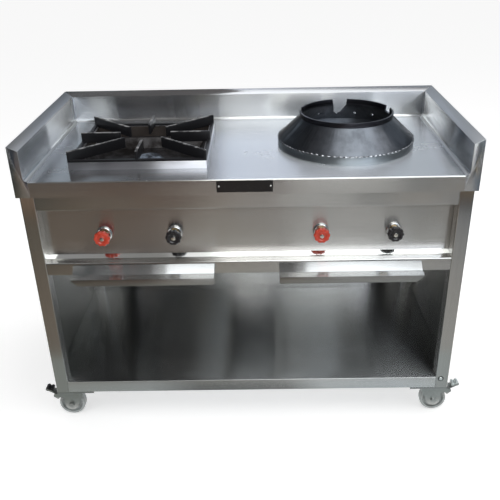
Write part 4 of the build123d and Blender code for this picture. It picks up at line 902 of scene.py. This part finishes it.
# Each card has two corners, the axis that its tones change along, and stops of a place with a grey, or
# with a red, green and blue
CARDS = (
    ("far_floor_card", (-SIDE, FRONT, LIFT), (SIDE, FAR_FLOOR, LIFT), "X",
     [(-1.2, 0.28, 0.22, 0.17), (-0.8, 0.27, 0.15, 0.08), (-0.3, 0.30, 0.19, 0.14),
      (0.1, 0.30, 0.22, 0.20), (0.4, 0.03, 0.02, 0.02), (0.9, 0.04, 0.03, 0.02),
      (1.4, 0.38, 0.30, 0.20)]),
    ("mid_floor_card", (-SIDE, FAR_FLOOR, LIFT), (SIDE, MID_FLOOR, LIFT), "X",
     [(-1.3, 0.04, 0.05, 0.04), (-1.05, 0.19, 0.15, 0.11), (-0.45, 0.22, 0.20, 0.18),
      (-0.2, 0.42, 0.41, 0.37), (0.3, 0.42, 0.42, 0.41), (0.75, 0.44, 0.44, 0.43),
      (1.05, 0.40, 0.39, 0.38), (1.3, 0.06, 0.10, 0.15)]),
    ("near_floor_card", (-SIDE, MID_FLOOR, LIFT), (SIDE, NEAR_FLOOR, LIFT), "X",
     [(-0.9, 0.27, 0.29, 0.26), (-0.35, 0.33, 0.36, 0.36), (-0.18, 0.14, 0.15, 0.15),
      (0.12, 0.14, 0.15, 0.15), (0.25, 0.40, 0.44, 0.45), (0.5, 0.43, 0.48, 0.50),
      (1.2, 0.39, 0.40, 0.34)]),
    ("low_wall_card", (-SIDE, FRONT_WALL, 0), (SIDE, FRONT_WALL, LOW_WALL), "X",
     [(0.2, 0.03, 0.04, 0.06), (0.26, 0.45), (0.75, 0.6), (1.0, 0.4), (1.1, 0.08, 0.10, 0.12),
      (1.3, 0.01, 0.03, 0.05)]),
    ("mid_wall_card", (-SIDE, FRONT_WALL, LOW_WALL), (SIDE, FRONT_WALL, MID_WALL), "X",
     [(-0.72, 0.01), (-0.6, 0.19, 0.15, 0.08), (-0.5, 0.01), (0.20, 0.02, 0.03, 0.04),
      (0.26, 1.7, 1.75, 1.7), (0.75, 1.9, 1.95, 1.9), (1.0, 1.3, 1.35, 1.3),
      (1.08, 0.05, 0.07, 0.09), (1.6, 0.03, 0.08, 0.12)]),
    ("window_card", (-SIDE, FRONT_WALL, MID_WALL), (SIDE, FRONT_WALL, WINDOW_TOP), "X",
     [(-1.6, 0.3), (-1.35, 0.7), (-1.15, 0.6), (-1.05, 0.08), (-0.6, 0.10), (-0.36, 0.25),
      (-0.31, 4.0, 4.0, 3.9), (0.06, 3.8), (0.2, 1.8, 1.8, 1.9), (0.9, 3.4, 3.4, 3.6),
      (1.8, 4.4, 4.6, 5.0)]),
    ("sky_card", (-SIDE, FRONT_WALL, WINDOW_TOP), (SIDE, FRONT_WALL, CEILING), "X",
     [(-1.4, 0.35, 0.27, 0.24), (-1.0, 0.45, 0.42, 0.40), (-0.5, 0.75, 0.73, 0.70),
      (-0.40, 4.2, 4.2, 4.1), (0.3, 4.6), (0.9, 3.8, 3.9, 4.1), (1.8, 4.0, 4.2, 4.6)]),
    ("rear_low_card", (-SIDE, REAR, REAR_FOOT), (SIDE, REAR, REAR_MIDDLE), "X",
     [(0.1, 0.01), (0.4, 0.50, 0.55, 0.60), (0.9, 0.42, 0.45, 0.47), (1.3, 0.55, 0.60, 0.64)]),
    ("rear_card", (-SIDE, REAR, REAR_MIDDLE), (SIDE, REAR, REAR_TOP), "X",
     [(-1.3, 0.78, 0.90, 1.00), (-0.9, 0.10, 0.12, 0.14), (-0.4, 0.10, 0.12, 0.14),
      (-0.2, 1.25, 1.38, 1.60), (0.2, 1.10, 1.20, 1.40), (0.4, 0.55, 0.60, 0.68),
      (0.8, 0.45, 0.50, 0.56), (1.1, 0.55, 0.64, 0.70), (1.8, 0.45, 0.55, 0.62)]),
    ("left_card", (LEFT, FRONT, 0), (LEFT, REAR, CEILING), "Y",
     [(-3.2, 0.02), (2.6, 0.07, 0.08, 0.09)]),
    ("right_card", (RIGHT, FRONT, 0), (RIGHT, REAR, CEILING), "Y",
     [(-3.2, 0.25, 0.28, 0.31), (2.6, 0.30, 0.34, 0.38)]),
    ("ceiling_left_card", (LEFT, FRONT, CEILING), (SEAM_X, SEAM_Y, CEILING), "X",
     [(-1.75, 0.12, 0.12, 0.13), (-1.3, 0.30), (-0.55, 0.22, 0.22, 0.21), (-0.45, 1.0),
      (-0.25, 1.0, 1.05, 1.0)]),
    ("ceiling_corner_card", (LEFT, SEAM_Y, CEILING), (SEAM_X, REAR, CEILING), "X",
     [(-1.75, 0.12), (-0.25, 0.16, 0.15, 0.15)]),
    ("ceiling_front_card", (SEAM_X, FRONT, CEILING), (RIGHT, SEAM_Y, CEILING), "X",
     [(-0.25, 1.0, 1.05, 1.0), (0.8, 1.6, 1.75, 1.75), (2.5, 1.3, 1.4, 1.45)]),
    ("ceiling_rear_card", (SEAM_X, SEAM_Y, CEILING), (RIGHT, REAR, CEILING), "X",
     [(-0.25, 0.44, 0.48, 0.56), (0.6, 0.28, 0.30, 0.34), (1.2, 0.12, 0.12, 0.15), (2.2, 0.02)]),
)

# Camera that gives the photograph's view: its lens in pixels of the square frame, its place in metres
# and its turns in radians
FRAME_SIDE, FOCAL, LENS_MIDDLE = 500, 660.38, (256.30, 250.85)
CAMERA_PLACE = (0.03961, -1.88031, 1.39793)
YAW, PITCH, ROLL = -0.010594, 0.473404, 0.019843
SENSOR = 36


class RANGE_OT_stage(Operator):
    """Pale floor, plain light, the cards that the steel mirrors and the camera"""
    bl_idname = "range.stage"
    bl_label = "Stage"

    def sheet(self, name, corners, finish):
        """A flat stage piece."""
        bm = bmesh.new()
        bm.faces.new([bm.verts.new(c) for c in corners])
        mesh = bpy.data.meshes.new(name)
        bm.to_mesh(mesh)
        bm.free()
        mesh.materials.append(finish.material)
        made = bpy.data.objects.new(name, mesh)
        bpy.context.scene.collection.objects.link(made)
        return made

    def glowing(self, name, axis, stops):
        """A card's finish: it only glows, with its tones along one axis."""
        finish = Finish(name, (0, 0, 0), 0.0, 1.0)
        low, high = stops[0][0], stops[-1][0]
        shares = [((place - low) / (high - low), tone if len(tone) == 3 else tone * 3)
                  for place, *tone in stops]
        spread = (finish.along(axis) - low) / (high - low)
        tone = finish.node("ShaderNodeValToRGB", {"stops": shares}, {0: spread})
        finish.show(finish.node("ShaderNodeEmission", None, {"Color": tone, "Strength": 1.0}))
        return finish

    def card(self, name, begin, end, finish):
        """A level or upright card between two corners, which only glossy rays meet."""
        if begin[2] == end[2]:
            corners = [begin, (end[0], begin[1], end[2]), end, (begin[0], end[1], end[2])]
        else:
            corners = [begin, (end[0], end[1], begin[2]), end, (begin[0], begin[1], end[2])]
        made = self.sheet(name, corners, finish)
        made.visible_camera = False
        made.visible_diffuse = False
        made.visible_shadow = False
        made.visible_transmission = False

    def floor(self, stage, reach=14):
        """Pale floor, with light that only the camera, mirrors and glass see, so that it shows white."""
        finish = Finish("pale_floor", stage.floor, 0.0, 0.9, specular_ior_level=0.0)
        glow = finish.node("ShaderNodeEmission", None, {"Color": (1, 1, 1),
                                                        "Strength": finish.sight() * stage.lift})
        lit = Tone(finish, finish.shader.outputs[0])
        finish.show(finish.node("ShaderNodeAddShader", None, {0: lit, 1: glow}))
        self.sheet("floor", [(-reach, -reach, 0), (reach, -reach, 0), (reach, reach, 0),
                             (-reach, reach, 0)], finish)

    def execute(self, context):
        stage = context.scene.range_stage
        scene = context.scene
        self.floor(stage)
        self.world(scene, stage.sky)
        self.lamp("overhead_lamp", (1.15, -0.55, 2.6), (1.15, -0.55, 0), (2.8, 2.9), stage.lamp)
        self.lamp("side_lamp", (-2.2, -1.8, 2.2), (-0.3, -0.1, 0.5), (1.2, 1.2), stage.fill)
        if stage.cards:
            for name, begin, end, axis, stops in CARDS:
                self.card(name, begin, end, self.glowing(name, axis, stops))
        self.camera(scene)
        return {"FINISHED"}

    def world(self, scene, strength):
        """Plain light all round, seen as white by the camera, mirrors and glass."""
        world = bpy.data.worlds.new("studio")
        scene.world = world
        world.use_nodes = True
        light = Shading(world.node_tree, "ShaderNodeOutputWorld")
        plain, white = (light.node("ShaderNodeBackground", None, {"Color": (1, 1, 1), "Strength": level})
                        for level in (strength, 1.0))
        light.show(light.node("ShaderNodeMixShader", None, {0: light.sight(), 1: plain, 2: white}))

    def lamp(self, name, place, target, size, power):
        """A soft lamp at a place, turned towards its target."""
        light = bpy.data.lights.new(name, "AREA")
        light.shape = "RECTANGLE"
        light.size, light.size_y = size
        light.energy = power
        made = bpy.data.objects.new(name, light)
        made.location = place
        made.rotation_euler = (Vector(target) - Vector(place)).to_track_quat("-Z", "Y").to_euler()
        bpy.context.scene.collection.objects.link(made)

    def camera(self, scene):
        """Camera at the photograph's viewing angle."""
        sight = Vector((math.sin(YAW) * math.cos(PITCH), math.cos(YAW) * math.cos(PITCH), -math.sin(PITCH)))
        level = Vector((math.cos(YAW), -math.sin(YAW), 0))
        down = sight.cross(level)
        right = level * math.cos(ROLL) + down * math.sin(ROLL)
        under = down * math.cos(ROLL) - level * math.sin(ROLL)
        turn = Matrix((right, -under, -sight)).transposed()
        lens = bpy.data.cameras.new("camera")
        lens.sensor_width = SENSOR
        lens.lens = FOCAL / FRAME_SIDE * SENSOR
        lens.shift_x = (FRAME_SIDE / 2 - LENS_MIDDLE[0]) / FRAME_SIDE
        lens.shift_y = (LENS_MIDDLE[1] - FRAME_SIDE / 2) / FRAME_SIDE
        lens.clip_end = 60
        camera = bpy.data.objects.new("camera", lens)
        camera.matrix_world = Matrix.Translation(CAMERA_PLACE) @ turn.to_4x4()
        scene.collection.objects.link(camera)
        scene.camera = camera
        scene.view_settings.view_transform = "Standard"


class RANGE_PT_sidebar(Panel):
    """The range's pieces and their settings"""
    bl_label = "Range"
    bl_idname = "RANGE_PT_sidebar"
    bl_space_type = "VIEW_3D"
    bl_region_type = "UI"
    bl_category = "Range"

    def draw(self, context):
        for name in GROUPS:
            settings = getattr(context.scene, name)
            box = self.layout.box()
            for key in settings.bl_rna.properties.keys():
                if key not in ("rna_type", "name"):
                    box.prop(settings, key)
        for operator in OPERATORS:
            self.layout.operator(operator.bl_idname)


GROUPS = {"range_steel": RANGE_PG_steel, "range_iron": RANGE_PG_iron, "range_knob": RANGE_PG_knob,
          "range_caster": RANGE_PG_caster, "range_stage": RANGE_PG_stage}
OPERATORS = (RANGE_OT_worktop, RANGE_OT_frame, RANGE_OT_nameplate, RANGE_OT_pan_support, RANGE_OT_pans,
             RANGE_OT_burners, RANGE_OT_wok_ring, RANGE_OT_gas_train, RANGE_OT_knobs, RANGE_OT_trays,
             RANGE_OT_casters, RANGE_OT_stage)
CLASSES = (*GROUPS.values(), *OPERATORS, RANGE_PT_sidebar)


def register():
    for item in CLASSES:
        bpy.utils.register_class(item)
    for name, group in GROUPS.items():
        setattr(bpy.types.Scene, name, PointerProperty(type=group))


def unregister():
    for name in GROUPS:
        delattr(bpy.types.Scene, name)
    for item in reversed(CLASSES):
        bpy.utils.unregister_class(item)


def main():
    register()
    bpy.ops.range.worktop()
    bpy.ops.range.frame()
    bpy.ops.range.nameplate()
    bpy.ops.range.pan_support()
    bpy.ops.range.pans()
    bpy.ops.range.burners()
    bpy.ops.range.wok_ring()
    bpy.ops.range.gas_train()
    bpy.ops.range.knobs()
    bpy.ops.range.trays()
    bpy.ops.range.casters()
    bpy.ops.range.stage()


if __name__ == "__main__":
    main()
